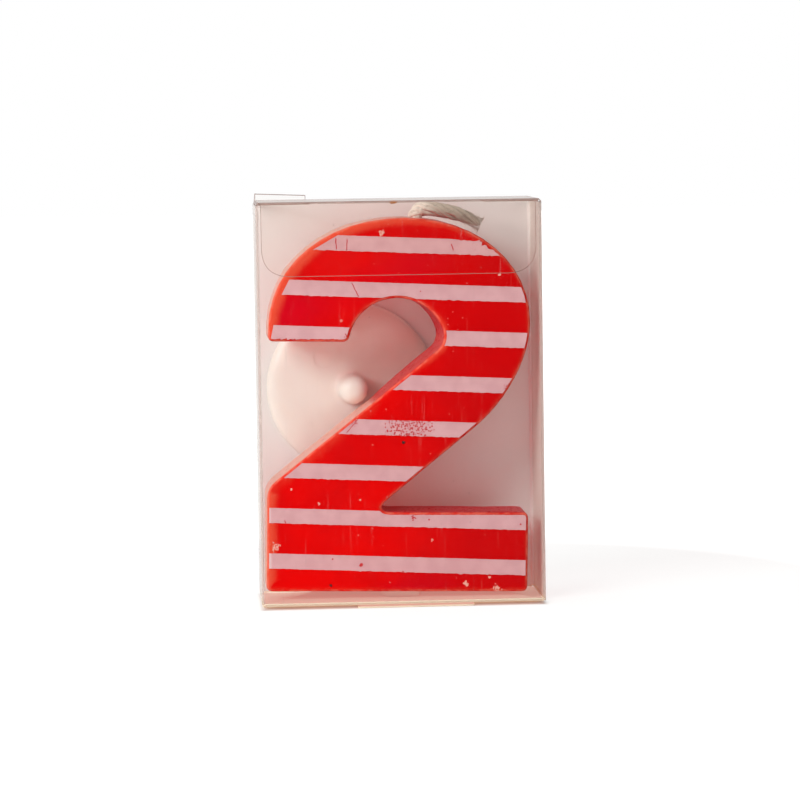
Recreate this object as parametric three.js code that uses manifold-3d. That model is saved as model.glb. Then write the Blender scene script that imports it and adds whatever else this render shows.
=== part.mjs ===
// A wax number candle, the digit two, in its clear folding carton with the plastic holder behind it.
// Millimetres, +Z up, front towards -Y. The carton stands on z = 0, its bounding box centred on the Z axis.
import * as THREE from "three";
import { mergeVertices } from "three/addons/utils/BufferGeometryUtils.js";
import Module from "manifold-3d";

const wasm = await Module();
wasm.setup();

const degrees = THREE.MathUtils.degToRad;

// Wax digit, in its own upright frame: x across from the middle of the foot, z up from the foot
const DIGIT_WIDTH = 54.0;
const DIGIT_HEIGHT = 77.05;
const DIGIT_THICKNESS = 12.6;
const EDGE_ROUND = 0.55;
const FOOT_HEIGHT = 16.5;
const FOOT_CORNER = 1.3;
const SHOULDER_HEIGHT = 21.4;
const SHOULDER_FILLET = 2.2;
const HOOK_END_DROP = 25.55;
const HOOK_CORNER = 1.3;
const HOOK_SIDE = 2.5;
const BOWL_TOP_OFFSET = 1.0;
const BOWL_RIGHT_DROP = 21.55;
const BOWL_FULLNESS = 0.575;
const BOWL_END_DROP = 42.85;
const COUNTER_RADIUS = 10.05;
const COUNTER_BELOW_HOOK_END = 1.0;
const COUNTER_OFFSET = -0.4;
const COUNTER_FILLET = 2.6;
const COUNTER_OVER_DIAGONAL = 5.7;
const DIAGONAL_WIDTH = 17.45;
const DIAGONAL_SPREAD = degrees(0.7);
const CROOK_FILLET = 4.2;

// Printed stripes on the digit's face
const STRIPE_WIDTH = 3.15;
const STRIPE_BELOW_TOP = 4.05;
const STRIPE_OVER_HOOK_END = 2.72;
const STRIPE_OVER_FOOT = 0.16;
const STRIPE_ABOVE_BASE = 7.27;
const STRIPE_SLOPE = degrees(1.56);
const STRIPE_FILM = 0.12;

// Wick
const WICK_DIAMETER = 2.6;
const WICK_DEPTH = 13.5;
const WICK_OFFSET = 3.3;
const WICK_RISE = 1.75;
const WICK_REACH = 13.9;
const WICK_DROOP = 3.4;
const WICK_BEND = 1.7;
const WICK_BORE_CLEARANCE = 0.3;

// Candle holder
const HOLDER_DIAMETER = 35.6;
const HOLDER_THICKNESS = 2.2;
const HOLDER_RIM = 0.7;
const HOLDER_ROLL = 3.2;
const PEG_DIAMETER = 6.0;
const PEG_LENGTH = 9.4;
const PEG_FILLET = 0.8;
const PEG_ROOM = 0.6;
const PEG_ALONG_DIAGONAL = 26.4;
const SOCKET_CLEARANCE = 0.2;
const SOCKET_DEPTH = 10.0;
const MARK_DIAMETER = 4.6;
const MARK_DEPTH = 0.15;
const MARK_OFFSET = 8.6;
const MARK_ANGLE = degrees(131);

// Carton sheet, and the room that the carton leaves round its contents
const SHEET = 0.3;
const LAYER_GAP = 0.05;
const CANDLE_LEAN = degrees(1.3);
const LEFT_ROOM = 0.35;
const RIGHT_ROOM = 1.45;
const FRONT_ROOM = 4.05;
const REAR_ROOM = 0.3;
const HOLDER_SIDE_ROOM = 0.3;
const HOLDER_TRAVEL = 4.75;
const WICK_ROOM = 0.3;
const SEAT_ROOM = 0.3;

// Lid, tuck flap and dust flaps
const LID_SIDE_ROOM = 0.15;
const TUCK_LENGTH = 14.9;
const TUCK_CORNER = 6.0;
const TUCK_CLEARANCE = 0.7;
const TUCK_SIDE_ROOM = 0.45;
const DUST_FLAP_LENGTH = 11.0;
const DUST_FLAP_FRONT_ROOM = 2.2;
const DUST_FLAP_FRONT_TAPER = 0.22;
const DUST_FLAP_REAR_ROOM = 1.0;
const DUST_FLAP_REAR_TAPER = 0.35;

// Glue flap
const GLUE_FLAP_WIDTH = 10.8;
const GLUE_FLAP_FOOT_ROOM = 1.5;
const GLUE_FLAP_PROUD = 1.4;
const GLUE_FLAP_TIP_DROP = 0.6;
const GLUE_FLAP_BENT_LENGTH = 9.0;
const GLUE_FLAP_LEAN = 0.9;

// Bottom flaps
const FLOOR_FLAP_LENGTH = 16.0;
const FLOOR_FLAP_TAPER = 0.66;
const FLOOR_FLAP_LIFT = degrees(2.6);
const FLOOR_FLAP_SIDE_ROOM = 0.3;
const NOTCH_MOUTH = 9.0;
const NOTCH_END = 6.6;
const NOTCH_DEPTH = 10.0;
const NOTCH_CORNER = 2.0;
const SIDE_FLAP_LENGTH = 12.0;
const SIDE_FLAP_ROOM = 1.2;
const SIDE_FLAP_FRONT_TAPER = 0.25;
const SIDE_FLAP_REAR_TAPER = 0.9;
const REAR_FLAP_SIDE_ROOM = 0.4;
const LOCK_TAB_WIDTH = 24.0;
const LOCK_TAB_LENGTH = 3.0;
const LOCK_TAB_OFFSET = 2.5;
const LOCK_TAB_CORNER = 0.6;
const FLAP_CORNER = 1.5;

// Straight steps on round shapes
const CURVE_STEPS = 12;
const LEAST_STEP = 0.02;
const EDGE_STEPS = 2;
const DISC_STEPS = 40;
const ROLL_STEPS = 4;
const WICK_SIDES = 10;
const WICK_STEPS = 34;

// Cutters reach this far past the faces that they open
const PAST = 1;

function clearSheet() {
  return new THREE.MeshStandardMaterial({
    color: 0xe9e4de,
    roughness: 0.18,
    metalness: 0,
    transparent: true,
    opacity: 0.3,
  });
}

function opaque(color, roughness) {
  return new THREE.MeshStandardMaterial({ color, roughness, metalness: 0 });
}

// A geometry as a solid that can be cut and joined
function solidOf(geometry) {
  const bare = geometry.index ? geometry.toNonIndexed() : geometry.clone();
  bare.deleteAttribute("normal");
  bare.deleteAttribute("uv");
  const merged = mergeVertices(bare, 1e-4);
  return new wasm.Manifold(
    new wasm.Mesh({
      numProp: 3,
      vertProperties: merged.attributes.position.array,
      triVerts: new Uint32Array(merged.index.array),
    }),
  );
}

// A solid as a geometry that can be drawn
function geometryOf(solid) {
  const mesh = solid.getMesh();
  const geometry = new THREE.BufferGeometry();
  geometry.setAttribute("position", new THREE.BufferAttribute(mesh.vertProperties, 3));
  geometry.setIndex(new THREE.BufferAttribute(mesh.triVerts, 1));
  geometry.computeVertexNormals();
  return geometry;
}

function named(name, geometry, material) {
  const mesh = new THREE.Mesh(geometry, material);
  mesh.name = name;
  return mesh;
}

// A box from its lowest to its highest corner
function slab(low, high) {
  const size = high.map((value, axis) => value - low[axis]);
  const middle = high.map((value, axis) => (value + low[axis]) / 2);
  return new THREE.BoxGeometry(...size).translate(...middle);
}

// A plate that lies flat, from an outline in x and y, with its underside at the given height
function flatPlate(outline, underside, thickness) {
  const settings = { depth: thickness, bevelEnabled: false, curveSegments: CURVE_STEPS };
  return new THREE.ExtrudeGeometry(outline, settings).translate(0, 0, underside);
}

// A plate that stands up, from an outline in x and z, with its front face at the given y
function uprightPlate(outline, front, thickness) {
  const settings = { depth: thickness, bevelEnabled: false, curveSegments: CURVE_STEPS };
  return new THREE.ExtrudeGeometry(outline, settings)
    .rotateX(Math.PI / 2)
    .translate(0, front + thickness, 0);
}

// An outline through corners given as [x, y, radius], each rounded by its own radius
function roundedOutline(corners) {
  const shape = new THREE.Shape();
  corners.forEach(([x, y, radius], index) => {
    const before = corners[(index + corners.length - 1) % corners.length];
    const after = corners[(index + 1) % corners.length];
    const toBefore = new THREE.Vector2(before[0] - x, before[1] - y);
    const toAfter = new THREE.Vector2(after[0] - x, after[1] - y);
    const reach = Math.min(radius, toBefore.length() / 2, toAfter.length() / 2);
    const start = toBefore.normalize().multiplyScalar(reach);
    const end = toAfter.normalize().multiplyScalar(reach);
    if (index === 0) shape.moveTo(x + start.x, y + start.y);
    else shape.lineTo(x + start.x, y + start.y);
    if (reach > 0) shape.quadraticCurveTo(x, y, x + end.x, y + end.y);
  });
  return stepped(shape);
}

// An outline as straight steps, without the points that nearly meet where two curves join
function stepped(shape) {
  const points = shape.getPoints(CURVE_STEPS);
  const after = (index) => points[(index + 1) % points.length];
  return new THREE.Shape(points.filter((point, index) => point.distanceTo(after(index)) > LEAST_STEP));
}

// The round counter, and the diagonal stroke that rises from the shoulder and passes under its centre
const half = DIGIT_WIDTH / 2;
const hookEnd = DIGIT_HEIGHT - HOOK_END_DROP;
const counter = new THREE.Vector2(COUNTER_OFFSET, hookEnd - COUNTER_BELOW_HOOK_END);
const shoulder = new THREE.Vector2(-half, SHOULDER_HEIGHT);
const toCounter = counter.clone().sub(shoulder);
const diagonalAngle = toCounter.angle() - Math.asin(COUNTER_OVER_DIAGONAL / toCounter.length());
const along = new THREE.Vector2(Math.cos(diagonalAngle), Math.sin(diagonalAngle));
const outward = new THREE.Vector2(-along.y, along.x);
const lowerSlope = Math.tan(diagonalAngle + DIAGONAL_SPREAD);
const lowerMiddle = shoulder.clone().addScaledVector(along, half).addScaledVector(outward, -DIAGONAL_WIDTH);

function lowerEdgeAt(height) {
  return lowerMiddle.x + (height - lowerMiddle.y) / lowerSlope;
}

// Where the diagonal's upper edge runs into the counter
function crookOfCounter() {
  const halfChord = Math.sqrt(COUNTER_RADIUS ** 2 - COUNTER_OVER_DIAGONAL ** 2);
  return shoulder.clone().addScaledVector(along, toCounter.dot(along) + halfChord);
}

// The digit's outline, anticlockwise from the left end of the foot
function digitOutline() {
  const crook = lowerEdgeAt(FOOT_HEIGHT);
  const crookTop = FOOT_HEIGHT + CROOK_FILLET * along.y;
  const bowlEndHeight = DIGIT_HEIGHT - BOWL_END_DROP;
  const bowlEnd = lowerEdgeAt(bowlEndHeight);
  const bowlEndRun = (half - bowlEnd) * BOWL_FULLNESS;
  const bowlRight = DIGIT_HEIGHT - BOWL_RIGHT_DROP;
  const bowlLowerDrop = (bowlRight - bowlEndHeight) / 3;
  const bowlLeft = hookEnd + HOOK_SIDE;
  const rightRise = BOWL_RIGHT_DROP * BOWL_FULLNESS;
  const leftRise = (DIGIT_HEIGHT - bowlLeft) * BOWL_FULLNESS;
  const join = crookOfCounter();
  const arcEnd = join.clone().sub(counter).angle() + COUNTER_FILLET / COUNTER_RADIUS;
  const hookAngle = Math.PI - Math.asin(COUNTER_BELOW_HOOK_END / COUNTER_RADIUS);
  const arcStart = hookAngle - HOOK_CORNER / COUNTER_RADIUS;
  const hookInner = COUNTER_OFFSET + COUNTER_RADIUS * Math.cos(hookAngle);
  const onCounter = (angle) => [
    COUNTER_OFFSET + COUNTER_RADIUS * Math.cos(angle),
    counter.y + COUNTER_RADIUS * Math.sin(angle),
  ];

  const shape = new THREE.Shape();
  shape.moveTo(-half + FOOT_CORNER, 0);
  shape.lineTo(half - FOOT_CORNER, 0);
  shape.quadraticCurveTo(half, 0, half, FOOT_CORNER);
  shape.lineTo(half, FOOT_HEIGHT - FOOT_CORNER);
  shape.quadraticCurveTo(half, FOOT_HEIGHT, half - FOOT_CORNER, FOOT_HEIGHT);
  shape.lineTo(crook + CROOK_FILLET, FOOT_HEIGHT);
  shape.quadraticCurveTo(crook, FOOT_HEIGHT, lowerEdgeAt(crookTop), crookTop);
  shape.lineTo(bowlEnd, bowlEndHeight);
  shape.bezierCurveTo(
    bowlEnd + bowlEndRun,
    bowlEndHeight + bowlEndRun * lowerSlope,
    half,
    bowlRight - bowlLowerDrop,
    half,
    bowlRight,
  );
  shape.bezierCurveTo(
    half,
    bowlRight + rightRise,
    BOWL_TOP_OFFSET + (half - BOWL_TOP_OFFSET) * BOWL_FULLNESS,
    DIGIT_HEIGHT,
    BOWL_TOP_OFFSET,
    DIGIT_HEIGHT,
  );
  shape.bezierCurveTo(
    BOWL_TOP_OFFSET - (half + BOWL_TOP_OFFSET) * BOWL_FULLNESS,
    DIGIT_HEIGHT,
    -half,
    bowlLeft + leftRise,
    -half,
    bowlLeft,
  );
  shape.lineTo(-half, hookEnd + HOOK_CORNER);
  shape.quadraticCurveTo(-half, hookEnd, -half + HOOK_CORNER, hookEnd);
  shape.lineTo(hookInner - HOOK_CORNER, hookEnd);
  shape.quadraticCurveTo(hookInner, hookEnd, ...onCounter(arcStart));
  shape.absarc(counter.x, counter.y, COUNTER_RADIUS, arcStart, arcEnd, true);
  shape.quadraticCurveTo(join.x, join.y, join.x - COUNTER_FILLET * along.x, join.y - COUNTER_FILLET * along.y);
  shape.lineTo(shoulder.x + SHOULDER_FILLET * along.x, shoulder.y + SHOULDER_FILLET * along.y);
  shape.quadraticCurveTo(shoulder.x, shoulder.y, shoulder.x, shoulder.y - SHOULDER_FILLET);
  shape.lineTo(-half, FOOT_CORNER);
  shape.quadraticCurveTo(-half, 0, -half + FOOT_CORNER, 0);
  return stepped(shape);
}

const digitShape = digitOutline();
const middleDepth = DIGIT_THICKNESS / 2;

// A round cutter that stands up on (x, middle of the thickness) between two heights
function uprightBore(radius, x, low, high) {
  return solidOf(
    new THREE.CylinderGeometry(radius, radius, high - low, DISC_STEPS / 2)
      .rotateX(Math.PI / 2)
      .translate(x, middleDepth, (low + high) / 2),
  );
}

// The cast wax, its front face on y = 0, with the wick's bore and the socket for the holder's peg
function waxDigit() {
  const blank = new THREE.ExtrudeGeometry(digitShape, {
    depth: DIGIT_THICKNESS - 2 * EDGE_ROUND,
    bevelEnabled: true,
    bevelThickness: EDGE_ROUND,
    bevelSize: EDGE_ROUND,
    bevelOffset: -EDGE_ROUND,
    bevelSegments: EDGE_STEPS,
  })
    .rotateX(Math.PI / 2)
    .translate(0, DIGIT_THICKNESS - EDGE_ROUND, 0);
  const wickBore = uprightBore(
    WICK_DIAMETER / 2 + WICK_BORE_CLEARANCE,
    WICK_OFFSET,
    DIGIT_HEIGHT - WICK_DEPTH - WICK_BORE_CLEARANCE,
    DIGIT_HEIGHT + PAST,
  );
  const socket = uprightBore(PEG_DIAMETER / 2 + SOCKET_CLEARANCE, 0, -PAST, SOCKET_DEPTH);
  return geometryOf(solidOf(blank).subtract(wickBore).subtract(socket));
}

// A prism through the flat part of the front face, inside its rounded edge
function facePrism() {
  const prism = new THREE.ExtrudeGeometry(digitShape, {
    depth: PAST,
    bevelEnabled: true,
    bevelThickness: PAST / 2,
    bevelSize: 0,
    bevelOffset: -EDGE_ROUND,
    bevelSegments: 1,
  });
  return solidOf(prism.rotateX(Math.PI / 2));
}

// The heights of the stripes' top edges: four are set by the digit, and the others share the room between them
function stripeTops() {
  const crown = DIGIT_HEIGHT - STRIPE_BELOW_TOP;
  const hook = hookEnd + STRIPE_OVER_HOOK_END;
  const foot = FOOT_HEIGHT + STRIPE_OVER_FOOT;
  const lower = [1, 2, 3].map((step) => THREE.MathUtils.lerp(hook, foot, step / 4));
  return [crown, (crown + hook) / 2, hook, ...lower, foot, STRIPE_ABOVE_BASE];
}

// One stripe: a sloping band over the flat part of the face, as one film for each stroke it crosses
function stripeFilms(top, face) {
  const fall = Math.tan(STRIPE_SLOPE) * DIGIT_WIDTH;
  const band = new THREE.Shape([
    new THREE.Vector2(-DIGIT_WIDTH, top + fall - STRIPE_WIDTH),
    new THREE.Vector2(DIGIT_WIDTH, top - fall - STRIPE_WIDTH),
    new THREE.Vector2(DIGIT_WIDTH, top - fall),
    new THREE.Vector2(-DIGIT_WIDTH, top + fall),
  ]);
  return face
    .intersect(solidOf(uprightPlate(band, -STRIPE_FILM, STRIPE_FILM)))
    .decompose()
    .map(geometryOf)
    .sort((a, b) => leftEnd(a) - leftEnd(b));
}

function leftEnd(geometry) {
  geometry.computeBoundingBox();
  return geometry.boundingBox.min.x;
}

// The wick: straight down its bore, and folded over to the right above the wax
function wick() {
  const end = DIGIT_HEIGHT + WICK_RISE;
  const route = [
    [WICK_OFFSET, DIGIT_HEIGHT - WICK_DEPTH],
    [WICK_OFFSET, DIGIT_HEIGHT - WICK_DEPTH / 2],
    [WICK_OFFSET, end - 2 * WICK_BEND],
    [WICK_OFFSET + 0.1 * WICK_BEND, end - 0.75 * WICK_BEND],
    [WICK_OFFSET + 0.9 * WICK_BEND, end],
    [WICK_OFFSET + 0.4 * WICK_REACH, end - 0.1 * WICK_DROOP],
    [WICK_OFFSET + 0.7 * WICK_REACH, end - 0.4 * WICK_DROOP],
    [WICK_OFFSET + WICK_REACH, end - WICK_DROOP],
  ];
  const path = new THREE.CatmullRomCurve3(route.map(([x, z]) => new THREE.Vector3(x, middleDepth, z)));
  const section = new THREE.Shape(
    Array.from({ length: WICK_SIDES }, (_, side) => {
      const angle = (2 * Math.PI * side) / WICK_SIDES;
      return new THREE.Vector2(Math.cos(angle), Math.sin(angle)).multiplyScalar(WICK_DIAMETER / 2);
    }),
  );
  return new THREE.ExtrudeGeometry(section, { steps: WICK_STEPS, bevelEnabled: false, extrudePath: path });
}

// The holder: a disc with a rolled front edge and a round-ended peg, its back on y = 0, peg towards -Y
function candleHolder() {
  const radius = HOLDER_DIAMETER / 2;
  const pegRadius = PEG_DIAMETER / 2;
  const tip = HOLDER_THICKNESS + PEG_LENGTH;
  const quarter = Array.from({ length: ROLL_STEPS + 1 }, (_, step) => (step * Math.PI) / 2 / ROLL_STEPS);
  const rim = quarter.map((angle) => [
    radius - HOLDER_ROLL + HOLDER_ROLL * Math.cos(angle),
    HOLDER_RIM + (HOLDER_THICKNESS - HOLDER_RIM) * Math.sin(angle),
  ]);
  const fillet = quarter.map((angle) => [
    pegRadius + PEG_FILLET * (1 - Math.sin(angle)),
    HOLDER_THICKNESS + PEG_FILLET * (1 - Math.cos(angle)),
  ]);
  const dome = quarter.map((angle) => [pegRadius * Math.cos(angle), tip - pegRadius + pegRadius * Math.sin(angle)]);
  dome[dome.length - 1][0] = 0;
  const profile = [[0, 0], [radius, 0], ...rim, ...fillet, ...dome];
  const turned = new THREE.LatheGeometry(
    profile.map(([r, height]) => new THREE.Vector2(r, height)),
    DISC_STEPS,
  ).rotateX(Math.PI);
  const mark = new THREE.CylinderGeometry(MARK_DIAMETER / 2, MARK_DIAMETER / 2, 2 * MARK_DEPTH, DISC_STEPS / 2);
  mark.translate(MARK_OFFSET * Math.cos(MARK_ANGLE), -HOLDER_THICKNESS, MARK_OFFSET * Math.sin(MARK_ANGLE));
  return geometryOf(solidOf(turned).subtract(solidOf(mark)));
}

// The candle: the digit, its stripes and its wick, leaning a little to the right in the carton
const candle = new THREE.Group();
candle.rotation.y = CANDLE_LEAN;
const wax = opaque(0xd00808, 0.38);
const print = opaque(0xe8c4c8, 0.55);
candle.add(named("wax_digit", waxDigit(), wax));
const face = facePrism();
stripeTops().forEach((top, index) => {
  const films = stripeFilms(top, face);
  films.forEach((film, part) => {
    const label = films.length > 1 ? `stripe_${index + 1}_${part === 0 ? "hook" : "bowl"}` : `stripe_${index + 1}`;
    candle.add(named(label, film, print));
  });
});
candle.add(named("wick", wick(), opaque(0xdcd3c4, 0.9)));
candle.updateMatrixWorld(true);

// The holder stands behind the digit, its peg in the open space over the diagonal
const pegSeat = shoulder
  .clone()
  .addScaledVector(along, PEG_ALONG_DIAGONAL)
  .addScaledVector(outward, PEG_DIAMETER / 2 + PEG_ROOM);
const pegPlace = new THREE.Vector3(pegSeat.x, 0, pegSeat.y).applyMatrix4(candle.matrixWorld);
const holderBack = DIGIT_THICKNESS + HOLDER_TRAVEL + HOLDER_THICKNESS;
const holder = named("candle_holder", candleHolder(), opaque(0xf3ede6, 0.35));
holder.position.set(pegPlace.x, holderBack, pegPlace.z);

// The carton's inside, from what it holds
const candleBox = new THREE.Box3().setFromObject(candle, true);
const digitBox = new THREE.Box3().setFromObject(candle.getObjectByName("wax_digit"), true);
const inner = {
  left: Math.min(digitBox.min.x - LEFT_ROOM, pegPlace.x - HOLDER_DIAMETER / 2 - HOLDER_SIDE_ROOM),
  right: Math.max(candleBox.max.x + RIGHT_ROOM, pegPlace.x + HOLDER_DIAMETER / 2 + HOLDER_SIDE_ROOM),
  front: -FRONT_ROOM,
  back: holderBack + REAR_ROOM,
  floor: digitBox.min.z - SEAT_ROOM,
  lid: candleBox.max.z + WICK_ROOM,
};
const outer = {
  left: inner.left - SHEET,
  right: inner.right + SHEET,
  front: inner.front - SHEET,
  back: inner.back + SHEET,
  top: inner.lid + SHEET,
};

// Undersides of the layers of the bottom and the top
const layer = SHEET + LAYER_GAP;
const floorFlapLevel = inner.floor - SHEET - FLOOR_FLAP_LENGTH * Math.sin(FLOOR_FLAP_LIFT);
const sideFlapLevel = floorFlapLevel - layer;
const rearFlapLevel = sideFlapLevel - layer;
const dustFlapLevel = inner.lid - layer;

const carton = new THREE.Group();
const middleX = (inner.left + inner.right) / 2;

// The four walls, between the layers of the two closures
function walls() {
  const frontFoot = floorFlapLevel + layer;
  const sideFoot = sideFlapLevel + layer;
  const rearFoot = rearFlapLevel + layer;
  const sideTop = dustFlapLevel - LAYER_GAP;
  const rearTop = inner.lid - LAYER_GAP;
  carton.add(
    named("front_panel", slab([outer.left, outer.front, frontFoot], [outer.right, inner.front, outer.top]), clearSheet()),
    named("rear_panel", slab([outer.left, inner.back, rearFoot], [outer.right, outer.back, rearTop]), clearSheet()),
    named("left_panel", slab([outer.left, inner.front, sideFoot], [inner.left, inner.back, sideTop]), clearSheet()),
    named("right_panel", slab([inner.right, inner.front, sideFoot], [outer.right, inner.back, sideTop]), clearSheet()),
  );
}

// The glue flap on the back of the rear panel, its top end bent away from the carton and standing proud
function glueFlap() {
  const foot = rearFlapLevel + layer + GLUE_FLAP_FOOT_ROOM;
  const tip = outer.top + GLUE_FLAP_PROUD;
  const bend = tip - GLUE_FLAP_BENT_LENGTH;
  const profile = new THREE.Shape([
    new THREE.Vector2(0, foot),
    new THREE.Vector2(SHEET, foot),
    new THREE.Vector2(SHEET, bend),
    new THREE.Vector2(SHEET + GLUE_FLAP_LEAN, tip),
    new THREE.Vector2(GLUE_FLAP_LEAN, tip),
    new THREE.Vector2(0, bend),
  ]);
  const strip = new THREE.ExtrudeGeometry(profile, { depth: GLUE_FLAP_WIDTH, bevelEnabled: false })
    .rotateX(Math.PI / 2)
    .rotateZ(Math.PI / 2)
    .translate(outer.left, outer.back, 0);
  const face = new THREE.Shape([
    new THREE.Vector2(outer.left, foot),
    new THREE.Vector2(outer.left + GLUE_FLAP_WIDTH, foot + GLUE_FLAP_FOOT_ROOM),
    new THREE.Vector2(outer.left + GLUE_FLAP_WIDTH, tip - GLUE_FLAP_TIP_DROP),
    new THREE.Vector2(outer.left, tip),
  ]);
  const trim = uprightPlate(face, outer.back - PAST, GLUE_FLAP_LEAN + SHEET + 2 * PAST);
  return named("glue_flap", geometryOf(solidOf(strip).intersect(solidOf(trim))), clearSheet());
}

// The lid, hinged along the top of the rear panel, and the tuck flap behind the front panel
function lidAndTuck() {
  const tuckFront = inner.front + TUCK_CLEARANCE;
  const tuckLeft = inner.left + TUCK_SIDE_ROOM;
  const tuckRight = inner.right - TUCK_SIDE_ROOM;
  const tuckTop = inner.lid - LAYER_GAP;
  const tuckEnd = inner.lid - TUCK_LENGTH;
  const lid = slab(
    [outer.left + LID_SIDE_ROOM, tuckFront, inner.lid],
    [outer.right - LID_SIDE_ROOM, outer.back, outer.top],
  );
  const tuck = roundedOutline([
    [tuckLeft, tuckEnd, TUCK_CORNER],
    [tuckRight, tuckEnd, TUCK_CORNER],
    [tuckRight, tuckTop, 0],
    [tuckLeft, tuckTop, 0],
  ]);
  carton.add(
    named("lid", lid, clearSheet()),
    named("tuck_flap", uprightPlate(tuck, tuckFront, SHEET), clearSheet()),
  );
}

// A dust flap under the lid, hinged along the top of a side panel; side is -1 for left, 1 for right
function dustFlap(name, side) {
  const root = side < 0 ? outer.left : outer.right;
  const end = root - side * DUST_FLAP_LENGTH;
  const front = inner.front + TUCK_CLEARANCE + SHEET + DUST_FLAP_FRONT_ROOM;
  const back = outer.back - DUST_FLAP_REAR_ROOM;
  const corners = [
    [root, front, 0],
    [end, front + DUST_FLAP_FRONT_TAPER * DUST_FLAP_LENGTH, FLAP_CORNER],
    [end, back - DUST_FLAP_REAR_TAPER * DUST_FLAP_LENGTH, FLAP_CORNER],
    [root, back, 0],
  ];
  return named(name, flatPlate(roundedOutline(corners), dustFlapLevel, SHEET), clearSheet());
}

// The floor flap, hinged along the front crease: the innermost layer, sprung up a little at its end
function floorFlap() {
  const left = inner.left + FLOOR_FLAP_SIDE_ROOM;
  const right = inner.right - FLOOR_FLAP_SIDE_ROOM;
  const inset = FLOOR_FLAP_TAPER * FLOOR_FLAP_LENGTH;
  const notchFoot = FLOOR_FLAP_LENGTH - NOTCH_DEPTH;
  const corners = [
    [left, 0, 0],
    [right, 0, 0],
    [right - inset, FLOOR_FLAP_LENGTH, FLAP_CORNER],
    [middleX + NOTCH_MOUTH / 2, FLOOR_FLAP_LENGTH, FLAP_CORNER / 2],
    [middleX + NOTCH_END / 2, notchFoot, NOTCH_CORNER],
    [middleX - NOTCH_END / 2, notchFoot, NOTCH_CORNER],
    [middleX - NOTCH_MOUTH / 2, FLOOR_FLAP_LENGTH, FLAP_CORNER / 2],
    [left + inset, FLOOR_FLAP_LENGTH, FLAP_CORNER],
  ];
  const geometry = flatPlate(roundedOutline(corners), 0, SHEET)
    .rotateX(FLOOR_FLAP_LIFT)
    .translate(0, outer.front + SHEET * Math.sin(FLOOR_FLAP_LIFT), floorFlapLevel);
  return named("bottom_front_flap", geometry, clearSheet());
}

// A side flap of the bottom, hinged along the foot of a side panel; side is -1 for left, 1 for right
function sideFlap(name, side) {
  const root = side < 0 ? outer.left : outer.right;
  const end = root - side * SIDE_FLAP_LENGTH;
  const front = inner.front + SIDE_FLAP_ROOM;
  const back = inner.back - SIDE_FLAP_ROOM;
  const corners = [
    [root, front, 0],
    [end, front + SIDE_FLAP_FRONT_TAPER * SIDE_FLAP_LENGTH, FLAP_CORNER],
    [end, back - SIDE_FLAP_REAR_TAPER * SIDE_FLAP_LENGTH, FLAP_CORNER],
    [root, back, 0],
  ];
  return named(name, flatPlate(roundedOutline(corners), sideFlapLevel, SHEET), clearSheet());
}

// The rear flap, hinged along the rear crease: the outermost layer, with the lock tab at the front
function rearFlap() {
  const left = outer.left + REAR_FLAP_SIDE_ROOM;
  const right = outer.right - REAR_FLAP_SIDE_ROOM;
  const tabMiddle = middleX + LOCK_TAB_OFFSET;
  const edge = outer.front + LOCK_TAB_LENGTH;
  const corners = [
    [left, outer.back, 0],
    [left, edge, FLAP_CORNER],
    [tabMiddle - LOCK_TAB_WIDTH / 2, edge, 0],
    [tabMiddle - LOCK_TAB_WIDTH / 2, outer.front, LOCK_TAB_CORNER],
    [tabMiddle + LOCK_TAB_WIDTH / 2, outer.front, LOCK_TAB_CORNER],
    [tabMiddle + LOCK_TAB_WIDTH / 2, edge, 0],
    [right, edge, FLAP_CORNER],
    [right, outer.back, 0],
  ];
  return named("bottom_rear_flap", flatPlate(roundedOutline(corners), rearFlapLevel, SHEET), clearSheet());
}

walls();
lidAndTuck();
carton.add(
  glueFlap(),
  dustFlap("left_dust_flap", -1),
  dustFlap("right_dust_flap", 1),
  floorFlap(),
  sideFlap("bottom_left_flap", -1),
  sideFlap("bottom_right_flap", 1),
  rearFlap(),
);

// The whole part, stood on z = 0 with its bounding box centred on the Z axis
const part = new THREE.Group();
part.name = "number_candle";
part.add(carton, candle, holder);
const whole = new THREE.Box3().setFromObject(part, true);
part.position.set(-(whole.min.x + whole.max.x) / 2, -(whole.min.y + whole.max.y) / 2, -whole.min.z);

export default part;
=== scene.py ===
"""A wax number candle, the digit two, in its clear folding carton with the plastic holder behind it.

Metres, +Z up, the carton's front towards -Y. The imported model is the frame: its solids say where each
piece is, and the classes below build the finished piece in that place.
"""

import logging
import math
import random
from collections.abc import Iterable, Iterator, Sequence
from contextlib import contextmanager
from dataclasses import dataclass, field
from enum import Enum
from functools import reduce
from typing import Any

import bmesh
import bpy
from mathutils import Matrix, Vector, bvhtree, kdtree, noise


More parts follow.
